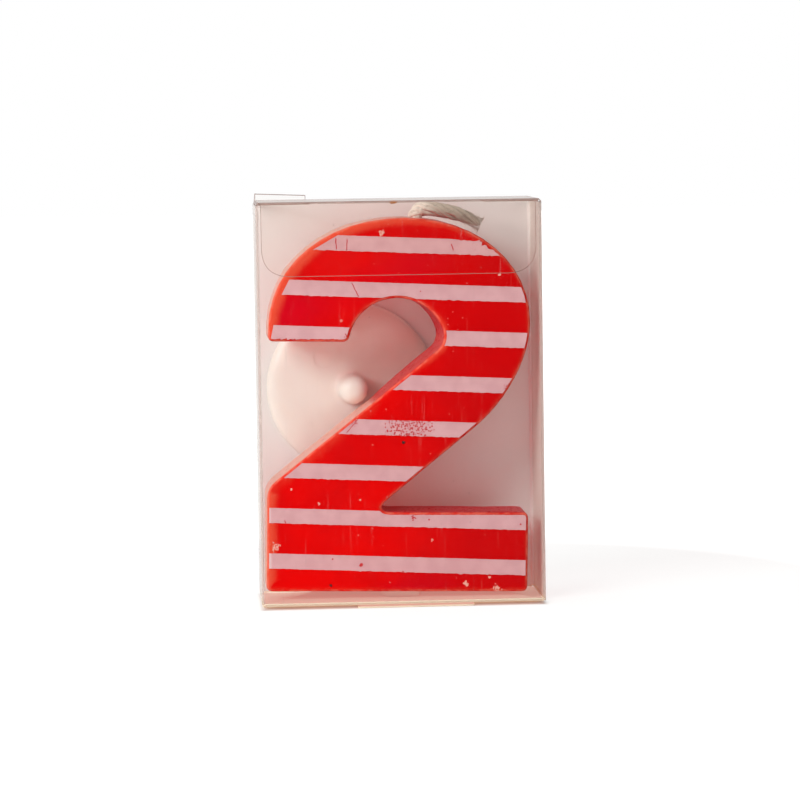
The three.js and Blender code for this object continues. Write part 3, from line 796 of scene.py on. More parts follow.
class Bench:
    """Small jobs on one object at a time."""

    @staticmethod
    def only(piece: Piece) -> None:
        """Selects one object and nothing else.

        Args:
            piece: The object.
        """
        bpy.ops.object.select_all(action="DESELECT")
        piece.select_set(True)
        bpy.context.view_layer.objects.active = piece

    @staticmethod
    @contextmanager
    def editing(piece: Piece) -> Iterator[None]:
        """Opens one object in edit mode, all of it selected, and closes it again.

        Args:
            piece: The object.

        Yields:
            Nothing, while the object is open.
        """
        Bench.only(piece)
        bpy.ops.object.mode_set(mode="EDIT")
        bpy.ops.mesh.select_all(action="SELECT")
        yield
        bpy.ops.object.mode_set(mode="OBJECT")

    @staticmethod
    def new(name: str, data: bpy.types.ID) -> Piece:
        """Puts a mesh, curve, camera or lamp in the scene.

        Args:
            name: The new object's name.
            data: What it shows.

        Returns:
            The object.
        """
        piece = bpy.data.objects.new(name, data)
        bpy.context.scene.collection.objects.link(piece)
        data.name = name
        return piece

    @staticmethod
    def apply(piece: Piece, kind: str, **settings: Any) -> None:
        """Adds one modifier and applies it.

        Args:
            piece: The object to change.
            kind: The modifier's type.
            **settings: The modifier's settings.
        """
        Bench.only(piece)
        modifier = piece.modifiers.new(kind.lower(), kind)
        for name, value in settings.items():
            setattr(modifier, name, value)
        bpy.ops.object.modifier_apply(modifier=modifier.name)

    @staticmethod
    def smooth(piece: Piece, degrees: float) -> None:
        """Shades an object smooth, apart from edges sharper than an angle."""
        Bench.only(piece)
        bpy.ops.object.shade_smooth_by_angle(angle=math.radians(degrees))

    @staticmethod
    def discard(piece: Piece) -> None:
        """Deletes an object with its mesh."""
        bpy.data.meshes.remove(piece.data)

    @staticmethod
    def merged_copy(node: str, name: str) -> Piece:
        """Copies a solid of the frame, with its points merged and its flat faces whole.

        Args:
            node: The solid's name.
            name: The new piece's name.

        Returns:
            The new piece, with no material.
        """
        piece = Bench.new(name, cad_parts[node].data.copy())
        Bench.only(piece)
        bpy.ops.mesh.customdata_custom_splitnormals_clear()
        with Bench.editing(piece):
            bpy.ops.mesh.remove_doubles(threshold=1e-6)
            bpy.ops.mesh.dissolve_limited(angle_limit=math.radians(0.5))
        piece.data.materials.clear()
        return piece

    @staticmethod
    def deliver(piece: Piece, body: Body, slot: Slot, nodes: Iterable[str]) -> None:
        """Hands a finished piece to the model.

        Args:
            piece: The finished piece.
            body: The body that it rides on.
            slot: The record's slot that its finish belongs to; not used.
            nodes: The solids that it stands for.
        """
        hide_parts(*nodes)
        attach(piece, body.value)
        LOG.info("%s: %d faces, on %s", piece.name, len(piece.data.polygons), body.value)


def sides(ring: list[Vector]) -> Iterator[tuple[Vector, Vector]]:
    """Pairs each point of a ring with the next."""
    return zip(ring, ring[1:] + ring[:1], strict=True)


def outward_of(way: Vector) -> Vector:
    """Gives the direction out of a ring beside one of its sides."""
    return Vector((way.z, 0, -way.x)).normalized()


def ring_of(piece: Piece, facing: int) -> list[Vector]:
    """Gives the outline of a solid's largest flat face towards the front or the back.

    Args:
        piece: The solid.
        facing: -1 for the front, 1 for the back.

    Returns:
        Its points in order, anticlockwise seen from the front.
    """
    face = max((f for f in piece.data.polygons if f.normal.y * facing > 0.9), key=lambda f: f.area)
    ring = [piece.data.vertices[index].co.copy() for index in face.vertices]
    area = sum(a.x * b.z - b.x * a.z for a, b in sides(ring))
    return ring if area > 0 else ring[::-1]


class SheetLook(int, Enum):
    """Material slots of the sleeve; each is followed by the slot of its own cut edge."""

    CLEAR = 0
    REAR = 2
    CREASE = 4
    FOLD = 6
    EDGE = 8


@dataclass
class Station:
    """One upright line of the carton's sheet: where it stands, and its lowest and highest point."""

    x: float
    y: float
    low: float
    high: float
    look: int


@dataclass
class Sleeve:
    """The carton's four walls and glue flap, folded from one sheet."""

    finishes: Finishes
    sheet: float = 0.3 * MM
    crease: float = 0.34 * MM
    crease_steps: int = 3
    flap_steps: int = 6
    side_steps: int = 10
    front_steps: int = 24
    rows: int = 30
    rim: float = 0.1 * MM
    low_rim: float = 0.26 * MM
    top_rim: float = 0.16 * MM
    low_fold: float = 1.0 * MM
    bow: float = 0.09 * MM
    bow_scale: float = 42.0
    side_bow: float = 0.15
    glue_gap: float = 0.03 * MM
    flap_bend: float = 9.0 * MM
    flap_lean: float = 0.85 * MM
    flap_drop: float = 0.6 * MM
    stations: list[Station] = field(default_factory=list)

    @property
    def last_flap_line(self) -> int:
        """Gives the number of the glue flap's last line, past its own steps and two rims."""
        return self.flap_steps + 2

    def _wall(self, start: Vector, end: Vector, low: float, high: float, steps: int, look: int) -> None:
        """Adds the lines of one flat wall, its two thin end strips among them.

        Args:
            start: Where the wall starts.
            end: Where it ends.
            low: Its lower edge.
            high: Its upper edge.
            steps: How many strips it has between the rims.
            look: Its slot.
        """
        way = (end - start).normalized()
        points = [start, start + way * self.rim]
        points += [start.lerp(end, step / steps) for step in range(1, steps)]
        points += [end - way * self.rim, end]
        self.stations += [Station(point.x, point.y, low, high, look) for point in points]

    def _fold(self, corner: Vector, before: Vector, after: Vector, low: Station, high: Station) -> None:
        """Adds the lines of one rounded crease.

        Args:
            corner: The sharp corner.
            before: The way in which the sheet runs before it.
            after: The way in which it runs after it.
            low: The last line before the crease.
            high: The first line after it.
        """
        centre = corner - before * self.crease + after * self.crease
        for step in range(1, self.crease_steps):
            angle = step / self.crease_steps * math.pi / 2
            point = centre - after * self.crease * math.cos(angle) + before * self.crease * math.sin(angle)
            share = step / self.crease_steps
            bottom = low.low + (high.low - low.low) * share
            drops = low.high - high.high > self.low_fold
            top = high.high if drops else low.high + (high.high - low.high) * share
            look = SheetLook.REAR if high.look == SheetLook.REAR.value else SheetLook.CREASE
            self.stations.append(Station(point.x, point.y, bottom, top, look.value))

    def _lay_out(self) -> None:
        """Works out every line, from the glue flap round the carton to the rear panel's free edge."""
        low_left, high_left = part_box("left_panel")
        low_front, high_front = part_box("front_panel")
        low_rear, high_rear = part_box("rear_panel")
        low_glue, high_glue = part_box("glue_flap")
        west, east = low_front.x, high_front.x
        front, rear = low_front.y, high_rear.y
        glue = rear + self.sheet + self.glue_gap
        points = [(high_glue.x, glue), (west, glue), (west, front), (east, front), (east, rear)]
        points.append((west + 2 * self.sheet, rear))
        corners = [Vector(point) for point in points]
        clear, hazy = SheetLook.CLEAR.value, SheetLook.REAR.value
        walls = (
            (low_glue.z, high_glue.z, self.flap_steps, clear),
            (low_left.z, high_left.z, self.side_steps, clear),
            (low_front.z, high_front.z, self.front_steps, clear),
            (low_left.z, high_left.z, self.side_steps, clear),
            (low_rear.z, high_rear.z, self.front_steps, hazy),
        )
        before = None
        for index, (low, high, steps, look) in enumerate(walls):
            start, end = corners[index], corners[index + 1]
            way = (end - start).normalized()
            if before is not None:
                self._fold(start, before, way, self.stations[-1], Station(0, 0, low, high, look))
            first = start + way * self.crease if before is not None else start
            last = end - way * self.crease if index < len(walls) - 1 else end
            self._wall(first, last, low, high, steps, look)
            before = way

    def _folded(self, column: int, share: float) -> Vector:
        """Places one point of the flat blank on the folded carton.

        Args:
            column: The number of its upright line.
            share: Its height as a share of the line's length.

        Returns:
            The point.
        """
        station = self.stations[column]
        height = station.low + (station.high - station.low) * share
        point = Vector((station.x, station.y, height))
        if column <= self.last_flap_line:
            past = max(0.0, height - (station.high - self.flap_bend)) / self.flap_bend
            point.y += self.flap_lean * past
            across = column / self.last_flap_line
            point.z -= (1 - across) * self.flap_drop * max(0.0, (share - 0.5) * 2)
        return point

    def _bowed(self, point: Vector, column: int, share: float) -> Vector:
        """Gives the sheet the slight wave of a wall that is held only at its creases.

        Args:
            point: A point of the folded sheet.
            column: The number of its upright line.
            share: Its height as a share of the line's length.

        Returns:
            The point in its place on the wave.
        """
        if self.stations[column].look == SheetLook.CREASE.value or column <= self.last_flap_line:
            return point
        wave = noise.noise(point * self.bow_scale) * self.bow * math.sin(math.pi * clamp(share))
        along_x = abs(abs(point.x) - abs(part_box("front_panel")[0].x)) > self.crease
        place, half = (point.x, cad_box[1][0]) if along_x else (point.y, cad_box[1][1])
        wave *= max(0.0, 1 - (place / half) ** 4) * (1.0 if along_x else self.side_bow)
        push = Vector((0, 1, 0)) if along_x else Vector((1, 0, 0))
        side = math.copysign(1.0, push.dot(Vector((-point.x, -point.y, 0))))
        return point + push * side * abs(wave)

    def build(self) -> Piece:
        """Folds the blank and gives it its thickness.

        Returns:
            The sleeve.
        """
        self._lay_out()
        columns = len(self.stations)
        bpy.ops.object.select_all(action="DESELECT")
        bpy.ops.mesh.primitive_grid_add(x_subdivisions=columns - 1, y_subdivisions=self.rows, size=1.0)
        piece = bpy.context.object
        piece.name = "carton_sleeve"
        height = cad_box[1][2] - cad_box[0][2]
        for vertex in piece.data.vertices:
            column = round((vertex.co.x + 0.5) * (columns - 1))
            share = vertex.co.y + 0.5
            row = round(share * self.rows)
            if row in (1, self.rows - 1):
                share = self.low_rim / height if row == 1 else 1 - self.top_rim / height
            vertex.co = self._bowed(self._folded(column, share), column, share)
        self._dress(piece, columns - 1)
        Bench.apply(piece, "SOLIDIFY", thickness=self.sheet, offset=-1.0, use_even_offset=True,
                    use_rim=True, material_offset_rim=1)
        Bench.smooth(piece, 35)
        return piece

    def _dress(self, piece: Piece, strips: int) -> None:
        """Gives each strip of the sheet its finish.

        Args:
            piece: The folded sheet.
            strips: How many upright strips it has.
        """
        own = self.finishes
        # Each look is followed by its rim's finish: cut edges with painted shade, the fold's painted cream
        # highlight, and the sleeve end's painted shade.
        for look in (own.clear, own.cut, own.rear, own.cut, own.crease, own.cut, own.fold, own.fold,
                     own.edge, own.edge):
            piece.data.materials.append(look)
        with Bench.editing(piece):
            bpy.ops.mesh.flip_normals()
        for index, face in enumerate(piece.data.polygons):
            column, row = index % strips, index // strips
            looks = {self.stations[column].look, self.stations[column + 1].look}
            look = looks.pop() if len(looks) == 1 else SheetLook.CREASE.value
            if SheetLook.REAR.value in looks:
                look = SheetLook.REAR.value
            # End strips and the top row take the sleeve end's painted shade.
            if column in (0, strips - 1) or row == self.rows - 1:
                look = SheetLook.EDGE.value
            # The bottom row takes the painted cream highlight of the bottom crease.
            face.material_index = SheetLook.FOLD.value if row == 0 else look


@dataclass(frozen=True)
class Flap:
    """One flap of the carton: its solid, its body, and whether it is one of the hazy floor flaps."""

    node: str
    body: Body
    piece: str
    floor: bool = False


FLAPS = (
    Flap("lid", Body.LID, "lid_sheet"),
    Flap("tuck_flap", Body.TUCK, "tuck_sheet"),
    Flap("left_dust_flap", Body.LEFT_DUST, "left_dust_sheet"),
    Flap("right_dust_flap", Body.RIGHT_DUST, "right_dust_sheet"),
    Flap("bottom_front_flap", Body.BOTTOM_FRONT, "floor_sheet", True),
    Flap("bottom_left_flap", Body.BOTTOM_LEFT, "floor_left_sheet", True),
    Flap("bottom_right_flap", Body.BOTTOM_RIGHT, "floor_right_sheet", True),
    Flap("bottom_rear_flap", Body.BOTTOM_REAR, "floor_lock_sheet", True),
)


@dataclass
class Flaps:
    """The lid, the tuck flap, the dust flaps and the four flaps of the bottom."""

    finishes: Finishes
    rim: float = 0.1 * MM
    round_edge: float = 0.04 * MM

    def build(self, flap: Flap) -> Piece:
        """Makes one flap with a cut edge round it.

        Args:
            flap: The flap to make.

        Returns:
            The finished sheet.
        """
        piece = Bench.merged_copy(flap.node, flap.piece)
        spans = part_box(flap.node)[1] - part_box(flap.node)[0]
        thin = 2 if flap.floor else min(range(3), key=lambda axis: spans[axis])
        own = self.finishes
        # Floor flaps take painted pink shade, a painted backlight and the painted cream highlight on their
        # edges; the others take cut edges with painted shade.
        for finish in (own.floor, own.fold) if flap.floor else (own.clear, own.cut):
            piece.data.materials.append(finish)
        with Bench.editing(piece):
            bpy.ops.mesh.select_all(action="DESELECT")
            for face in bmesh.from_edit_mesh(piece.data).faces:
                flat = abs(face.normal[thin]) > 0.9
                face.material_index = 0 if flat else 1
                face.select_set(flat)
            bmesh.update_edit_mesh(piece.data)
            bpy.ops.mesh.inset(thickness=self.rim)
            for face in bmesh.from_edit_mesh(piece.data).faces:
                if face.material_index == 0 and not face.select:
                    face.material_index = 1
            bmesh.update_edit_mesh(piece.data)
        Bench.apply(piece, "BEVEL", width=self.round_edge, segments=2, limit_method="ANGLE",
                    angle_limit=math.radians(50), material=1)
        Bench.smooth(piece, 40)
        return piece


def smoothed(values: list[float], reach: int) -> list[float]:
    """Averages each value of a ring with its neighbours.

    Args:
        values: The values in order round the ring.
        reach: How many neighbours count on either side.

    Returns:
        The smoother values.
    """
    total = sum(values[-reach:]) + sum(values[:reach + 1])
    smooth = []
    for index in range(len(values)):
        smooth.append(total / (2 * reach + 1))
        total += values[(index + reach + 1) % len(values)] - values[index - reach]
    return smooth


class Outline:
    """The digit's outline as seen from the front, to ask how far a point is from it and how it is lit."""

    lamp: Vector = Vector((-0.84, 0.0, 0.54))
    shade: float = 0.3
    clear_of_wall: float = 1.0 * MM
    soften: int = 9

    def __init__(self, node: str, step: float = 0.12 * MM) -> None:
        """Samples the outline.

        Args:
            node: The solid whose rear face has the outline.
            step: How close the samples are.
        """
        scratch = Bench.merged_copy(node, node + "_outline")
        ring = ring_of(scratch, 1)
        middle = (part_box(node)[0].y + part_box(node)[1].y) / 2
        solid = bvhtree.BVHTree.FromPolygons([v.co for v in scratch.data.vertices],
                                             [tuple(f.vertices) for f in scratch.data.polygons])
        Bench.discard(scratch)
        places, outwards, lit = [], [], []
        for start, end in sides(ring):
            outward = outward_of(end - start)
            count = max(1, round((end - start).length / step))
            for number in range(count):
                point = start.lerp(end, number / count)
                eye = Vector((point.x, middle, point.z)) + outward * self.clear_of_wall
                hidden = solid.ray_cast(eye, self.lamp)[0] is not None
                lit.append(max(0.0, outward.dot(self.lamp)) * (self.shade if hidden else 1.0))
                places.append(Vector((point.x, 0, point.z)))
                outwards.append(outward)
        lit = smoothed(smoothed(lit, self.soften), self.soften)
        self.samples = list(zip(outwards, lit, strict=True))
        self.tree = kdtree.KDTree(len(places))
        for index, place in enumerate(places):
            self.tree.insert(place, index)
        self.tree.balance()

    def nearest(self, point: Vector) -> tuple[float, Vector, float]:
        """Finds the nearest point of the outline.

        Args:
            point: Any point; only its x and z count.

        Returns:
            The distance, the outline's outward direction there, and how much that edge faces the lamp.
        """
        _, index, distance = self.tree.find(Vector((point.x, 0, point.z)))
        return distance, *self.samples[index]


@dataclass
class Digit:
    """The cast wax digit: its edges softened and its sides a little uneven, its face flat for the print."""

    finishes: Finishes
    outline: Outline
    voxel: float = 0.36 * MM
    unevenness: float = 0.08 * MM
    flat_depth: float = 0.8 * MM
    # Reach and strength of the painted glow near the edges that face the lamp, weaker on the upward edges of
    # the diagonal.
    painted_glow_solid: float = 0.5 * MM
    painted_glow_reach: float = 2.6 * MM
    least_reach: float = 0.3
    least_painted_glow: float = 0.36
    dull_side: tuple[float, float] = (21.0, 50.0)
    dull_fade: float = 3.0
    dulled: float = 0.6
    counter_middle: tuple[float, float] = (3.0, 56.0)
    counter_reach: float = 16.0 * MM
    counter_draft: float = 1.1 * MM
    draft_reach: float = 2.5 * MM

    def _painted_glow(self, point: Vector) -> float:
        """Says how much painted glow the wax gets at a point: most within the edges that face the lamp.

        Args:
            point: A point of the digit.

        Returns:
            The painted glow, from 0 to 1.
        """
        away, outward, lit = self.outline.nearest(point)
        solid = self.painted_glow_solid * lit
        reach = self.painted_glow_reach * (self.least_reach + (1 - self.least_reach) * lit)
        fade = clamp((reach - away) / (reach - solid))
        low, high = self.dull_side
        inside = min(point.z / MM - low, high - point.z / MM)
        dull = self.dulled * clamp(inside / self.dull_fade) if outward.z > UPWARD else 0.0
        return fade * (self.least_painted_glow + (1 - self.least_painted_glow) * lit) * (1 - dull)

    def _drafted(self, point: Vector, front: float, depth: float) -> Vector:
        """Widens the body towards its back along the counter's right side.

        Args:
            point: A point of the digit.
            front: Where the digit's face is.
            depth: How thick the digit is.

        Returns:
            How far the point moves.
        """
        away, outward, _ = self.outline.nearest(point)
        middle = Vector((self.counter_middle[0] * MM, point.y, self.counter_middle[1] * MM))
        inside = clamp(2 - 2 * (point - middle).length / self.counter_reach)
        share = clamp(1 - away / self.draft_reach) * clamp((point.y - front) / depth)
        return outward * self.counter_draft * max(0.0, -outward.x) * inside * share

    def build(self) -> Piece:
        """Casts the digit.

        Returns:
            The wax digit.
        """
        piece = Bench.merged_copy("wax_digit", "wax_two")
        Bench.apply(piece, "REMESH", mode="VOXEL", voxel_size=self.voxel, use_smooth_shade=True)
        Bench.apply(piece, "SMOOTH", factor=0.5, iterations=3)
        low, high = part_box("wax_digit")
        vertices = piece.data.vertices
        normals = [vertex.normal.copy() for vertex in vertices]
        moved = []
        for vertex, normal in zip(vertices, normals, strict=True):
            depth = clamp((vertex.co.y - low.y) / self.flat_depth - 0.6)
            swell = noise.noise(vertex.co * 190.0) + 0.4 * noise.noise(vertex.co * 620.0)
            moved.append(vertex.co + normal * swell * self.unevenness * depth
                         + self._drafted(vertex.co, low.y, high.y - low.y))
        # The painted glow, and how lit each wall is, which sets its painted light and shade.
        values = {
            PAINTED_GLOW_ATTRIBUTE: [self._painted_glow(point) for point in moved],
            LIT_ATTRIBUTE: [self.outline.nearest(point)[2] for point in moved],
        }
        for name, levels in values.items():
            piece.data.attributes.new(name, "FLOAT", "POINT").data.foreach_set("value", levels)
        vertices.foreach_set("co", [value for point in moved for value in point])
        piece.data.update()
        piece.data.materials.clear()
        piece.data.materials.append(self.finishes.wax)
        return piece


@dataclass
class Stripes:
    """The stripes printed on the digit's face, with ragged edges."""

    finishes: Finishes
    outline: Outline
    left_room: dict[str, float] = field(default_factory=lambda: {
        "stripe_1": 0.3 * MM,
        "stripe_2": 0.88 * MM,
        "stripe_3_hook": 0.6 * MM,
    })
    step: float = 0.22 * MM
    lift: float = 0.02 * MM
    lower_teeth: float = 0.2 * MM
    upper_teeth: float = 0.07 * MM
    least_lit: float = 0.35
    names: tuple[str, ...] = (
        "stripe_1", "stripe_2", "stripe_3_hook", "stripe_3_bowl",
        *(f"stripe_{number}" for number in range(4, 9)),
    )

    def _worn(self, point: Vector) -> tuple[float, float]:
        """Says how the rubbed spots change the edge.

        Args:
            point: A point of the edge.

        Returns:
            How much rougher it is, from 1 up, and how deep it is torn.
        """
        gain, torn = 1.0, 0.0
        for spot in WORN_SPOTS:
            away = math.hypot(point.x / MM - spot.x, point.z / MM - spot.z)
            gain = max(gain, 1 + 1.6 * max(0.0, 1 - away / (spot.radius + 1.5)))
            bite = 0.35 + 2.2 * max(0.0, noise.noise(point * 1100.0))
            torn = max(torn, spot.tear * MM * bite * max(0.0, 1 - away / spot.radius))
        return gain, torn

    def _ragged(self, outline: list[Vector]) -> list[Vector]:
        """Breaks the outline into short steps and frays its long edges.

        Args:
            outline: The stripe's outline.

        Returns:
            The frayed outline.
        """
        points = []
        for start, end in sides(outline):
            way = end - start
            count = max(1, round(way.length / self.step))
            outward = outward_of(way)
            long_edge = way.length > 3 * MM and abs(way.z) < 0.2 * abs(way.x)
            teeth = (self.lower_teeth if outward.z < 0 else self.upper_teeth) if long_edge else 0.0
            for number in range(count):
                point = start.lerp(end, number / count)
                fray = 0.6 * noise.noise(point * 1900.0) + max(0.0, noise.noise(point * 4200.0))
                fade = min(1.0, number / 3, (count - number) / 3)
                gain, torn = self._worn(point)
                depth = (fray - 0.15) * teeth * gain - (torn if outward.z > UPWARD else 0.0)
                points.append(point + outward * depth * fade)
        return points

    def _is_clear(self, point: Vector, room: float) -> bool:
        """Says whether a point keeps its room from an edge that faces the lamp."""
        away, _, lit = self.outline.nearest(point)
        return away >= room or lit < self.least_lit

    def _crossing(self, clear: Vector, close: Vector, room: float) -> Vector:
        """Finds where the way from a clear point to one too close gives up its room.

        Args:
            clear: The clear point.
            close: The one too close.
            room: The room to keep.

        Returns:
            The last clear point.
        """
        for _ in range(16):
            middle = (clear + close) / 2
            clear, close = (middle, close) if self._is_clear(middle, room) else (clear, middle)
        return clear

    def _clipped(self, ring: list[Vector], room: float) -> list[Vector]:
        """Cuts the end of a stripe back from the rounded edge.

        Args:
            ring: The stripe's outline.
            room: How far it stays from the digit's outline.

        Returns:
            The shorter outline.
        """
        kept = []
        for start, end in sides(ring):
            first, second = self._is_clear(start, room), self._is_clear(end, room)
            if first:
                kept.append(start)
            if first != second:
                kept.append(self._crossing(start, end, room) if first else self._crossing(end, start, room))
        return kept

    def build(self, node: str) -> Piece:
        """Prints one stripe.

        Args:
            node: The stripe's solid.

        Returns:
            The stripe.
        """
        scratch = Bench.merged_copy(node, node + "_outline")
        ring = ring_of(scratch, -1)
        Bench.discard(scratch)
        points = self._ragged(self._clipped(ring, self.left_room.get(node, 0.0)))
        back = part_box(node)[1].y - self.lift
        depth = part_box(node)[0].y - back
        mesh = bpy.data.meshes.new(node + "_print")
        mesh.from_pydata([(p.x, back, p.z) for p in points], [], [list(range(len(points)))])
        piece = Bench.new(node + "_print", mesh)
        with Bench.editing(piece):
            bpy.ops.mesh.extrude_region_move(TRANSFORM_OT_translate={"value": (0, depth, 0)})
            bpy.ops.mesh.select_all(action="SELECT")
            bpy.ops.mesh.normals_make_consistent(inside=False)
        piece.data.materials.append(self.finishes.print)
        return piece


@dataclass
class Wick:
    """The cotton wick: twisted strands, straight in the wax and folded over to the right above it."""

    finishes: Finishes
    origin: Vector = field(default_factory=lambda: Vector((-1.197, -2.2, 2.613)) * MM)
    lean: float = math.radians(1.3)
    route: tuple[tuple[float, float], ...] = (
        (3.3, 64.0), (3.3, 70.5), (3.3, 75.3), (3.5, 77.4),
        (4.9, 78.75), (8.9, 78.4), (13.0, 77.4), (17.0, 75.5),
    )
    strands: int = 8
    strand_radius: float = 0.54 * MM
    twist_radius: float = 0.94 * MM
    swell: float = 0.1
    turns: float = 1.9
    points: int = 120
    fray_start: float = 0.87
    hairs: int = 700
    hair_foot: float = 1.15 * MM
    bare_from: float = 0.46
    hair_radius: float = 0.026 * MM
    ceiling: float = 82.72 * MM

    def _centre(self, share: float) -> Vector:
        """Gives a point of the wick's middle line.

        Args:
            share: How far along the wick, from 0 to 1.

        Returns:
            The point.
        """
        last = len(self.route) - 1
        place = share * last
        index = min(int(place), last - 1)
        t = place - index
        a, b, c, d = [Vector((*self.route[min(max(index + k, 0), last)], 0)) for k in (-1, 0, 1, 2)]
        bend, twist = 2 * a - 5 * b + 4 * c - d, 3 * b - a - 3 * c + d
        flat = 0.5 * (2 * b + (c - a) * t + bend * t * t + twist * t ** 3)
        x, z = flat.x * MM, flat.y * MM
        cos, sin = math.cos(self.lean), math.sin(self.lean)
        return self.origin + Vector((x * cos + z * sin, 0, z * cos - x * sin))

    def _around(self, share: float, angle: float, radius: float) -> Vector:
        """Gives a point beside the middle line.

        Args:
            share: How far along the wick.
            angle: On which side of the line.
            radius: How far from it.

        Returns:
            The point.
        """
        ahead = (self._centre(min(share + 0.004, 1.0)) - self._centre(max(share - 0.004, 0.0))).normalized()
        side = Vector((0, 1, 0))
        return self._centre(share) + (side * math.cos(angle) + ahead.cross(side) * math.sin(angle)) * radius

    def _tube(self, name: str, points: list[Vector], radii: list[float], depth: float) -> Piece:
        """Makes a closed round tube along points.

        Args:
            name: The tube's name.
            points: Its middle line.
            radii: Its thickness at each point, as a share.
            depth: Its radius.

        Returns:
            The tube.
        """
        curve = bpy.data.curves.new(name, "CURVE")
        curve.dimensions = "3D"
        curve.bevel_depth = depth
        curve.bevel_resolution = 2 if depth > self.hair_radius else 0
        curve.use_fill_caps = True
        spline = curve.splines.new("POLY")
        spline.points.add(len(points) - 1)
        for target, point, radius in zip(spline.points, points, radii, strict=True):
            target.co = (*point, 1.0)
            target.radius = radius
        return Bench.new(name, curve)

    def _strand(self, number: int) -> Piece:
        """Lays one strand; the first runs straight down the middle.

        Args:
            number: The strand's number.

        Returns:
            The strand.
        """
        points, radii = [], []
        for index in range(self.points):
            share = index / (self.points - 1)
            loose = noise.noise(Vector((share * 9, number * 3.1, 0.7)))
            end = max(0.0, share - self.fray_start) / (1 - self.fray_start)
            lump = self.swell * math.exp(-((share - 0.62) / 0.1) ** 2)
            out = self.twist_radius * (1 + 0.16 * loose - 0.4 * end + lump) if number else 0.0
            angle = 2 * math.pi * (self.turns * share + number / (self.strands - 1)) + 0.9 * loose
            length = 1 - 0.05 * abs(noise.noise(Vector((number * 7.7, 0.3, 1.9)))) * 2
            point = self._around(share * length, angle, out)
            point.z = min(point.z, self.ceiling - self.strand_radius)
            points.append(point)
            radii.append((1 + 0.25 * noise.noise(Vector((share * 17, number * 5.3, 2.2)))) * (1 - 0.6 * end))
        return self._tube(f"strand_{number}", points, radii, self.strand_radius)

    def _hair(self, number: int, draw: random.Random) -> Piece:
        """Lays one loose fibre on the part of the wick that is out of the wax.

        Args:
            number: The fibre's number.
            draw: The source of chance.

        Returns:
            The fibre.
        """
        share = draw.uniform(self.bare_from, 1.0) ** 0.8
        angle = draw.uniform(0, 2 * math.pi)
        reach = draw.uniform(0.1, 0.55) * MM * (2.2 if share > 0.95 else 1.0)
        run = draw.uniform(-0.05, 0.09)
        points = []
        for step in range(4):
            t = step / 3
            point = self._around(min(share + run * t, 1.0), angle + 0.6 * t, self.hair_foot + reach * t * t)
            point.z = min(point.z, self.ceiling)
            points.append(point)
        return self._tube(f"hair_{number}", points, [1.0, 0.9, 0.7, 0.4], self.hair_radius)

    def build(self) -> Piece:
        """Twists the strands and adds the loose fibres.

        Returns:
            The wick.
        """
        draw = random.Random(11)
        parts = [self._strand(number) for number in range(self.strands)]
        parts += [self._hair(number, draw) for number in range(self.hairs)]
        bpy.ops.object.select_all(action="DESELECT")
        for part in parts:
            part.select_set(True)
        bpy.context.view_layer.objects.active = parts[0]
        bpy.ops.object.convert(target="MESH")
        bpy.ops.object.join()
        piece = bpy.context.object
        piece.name = "cotton_wick"
        piece.data.name = "cotton_wick"
        bpy.ops.object.shade_smooth()
        piece.data.materials.clear()
        piece.data.materials.append(self.finishes.cotton)
        return piece


@dataclass
class Holder:
    """The moulded holder: a disc with a rolled rim, a round-ended peg and a shallow round moulding mark."""

    finishes: Finishes
    steps: int = 144
    disc_level: float = 2.08
    mark_place: tuple[float, float] = (-5.64, 6.49)
    mark_radius: float = 2.3
    mark_depth: float = 0.15
    profile: tuple[tuple[float, float], ...] = (
        (0.0, 0.0), (17.1, 0.0), (17.5, 0.06), (17.72, 0.22), (17.8, 0.5), (17.76, 0.82), (17.6, 1.12),
        (17.3, 1.42), (16.85, 1.7), (16.3, 1.92), (15.7, 2.08), (15.0, 2.17), (14.2, 2.2), (13.0, 2.19),
        (11.0, 2.12), (8.0, 2.08), (4.6, 2.08), (3.9, 2.12), (3.45, 2.27), (3.16, 2.55), (3.04, 2.95),
        (3.0, 3.4), (2.98, 7.0), (2.96, 8.9), (2.88, 9.5), (2.7, 10.05), (2.42, 10.55), (2.0, 11.0),
        (1.45, 11.33), (0.75, 11.54), (0.0, 11.6),
    )

    def build(self) -> Piece:
        """Turns the holder and presses the mark into it.

        Returns:
            The holder.
        """
        low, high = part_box("candle_holder")
        centre = Vector(((low.x + high.x) / 2, high.y, (low.z + high.z) / 2))
        points = [centre + Vector((r * MM, -h * MM, 0)) for r, h in self.profile]
        mesh = bpy.data.meshes.new("holder")
        mesh.from_pydata(points, [(i, i + 1) for i in range(len(points) - 1)], [])
        piece = Bench.new("peg_holder", mesh)
        with Bench.editing(piece):
            bpy.ops.mesh.spin(steps=self.steps, angle=2 * math.pi, center=centre, axis=(0, 1, 0))
            bpy.ops.mesh.select_all(action="SELECT")
            bpy.ops.mesh.remove_doubles(threshold=1e-6)
            bpy.ops.mesh.normals_make_consistent(inside=False)
        self._press_mark(piece, centre)
        Bench.smooth(piece, 30)
        piece.data.materials.append(self.finishes.holder)
        return piece

    def _press_mark(self, piece: Piece, centre: Vector) -> None:
        """Presses the round mark into the disc's front.

        Args:
            piece: The holder.
            centre: The middle of its back.
        """
        across, up = self.mark_place
        at = centre + Vector((across, -self.disc_level, up)) * MM
        bpy.ops.object.select_all(action="DESELECT")
        bpy.ops.mesh.primitive_cylinder_add(vertices=64, radius=self.mark_radius * MM, location=at,
                                            depth=2 * self.mark_depth * MM, rotation=(math.pi / 2, 0, 0))
        stamp = bpy.context.object
        bpy.ops.object.transform_apply(location=True, rotation=True, scale=True)
        Bench.apply(piece, "BOOLEAN", operation="DIFFERENCE", object=stamp, solver="EXACT")
        Bench.discard(stamp)


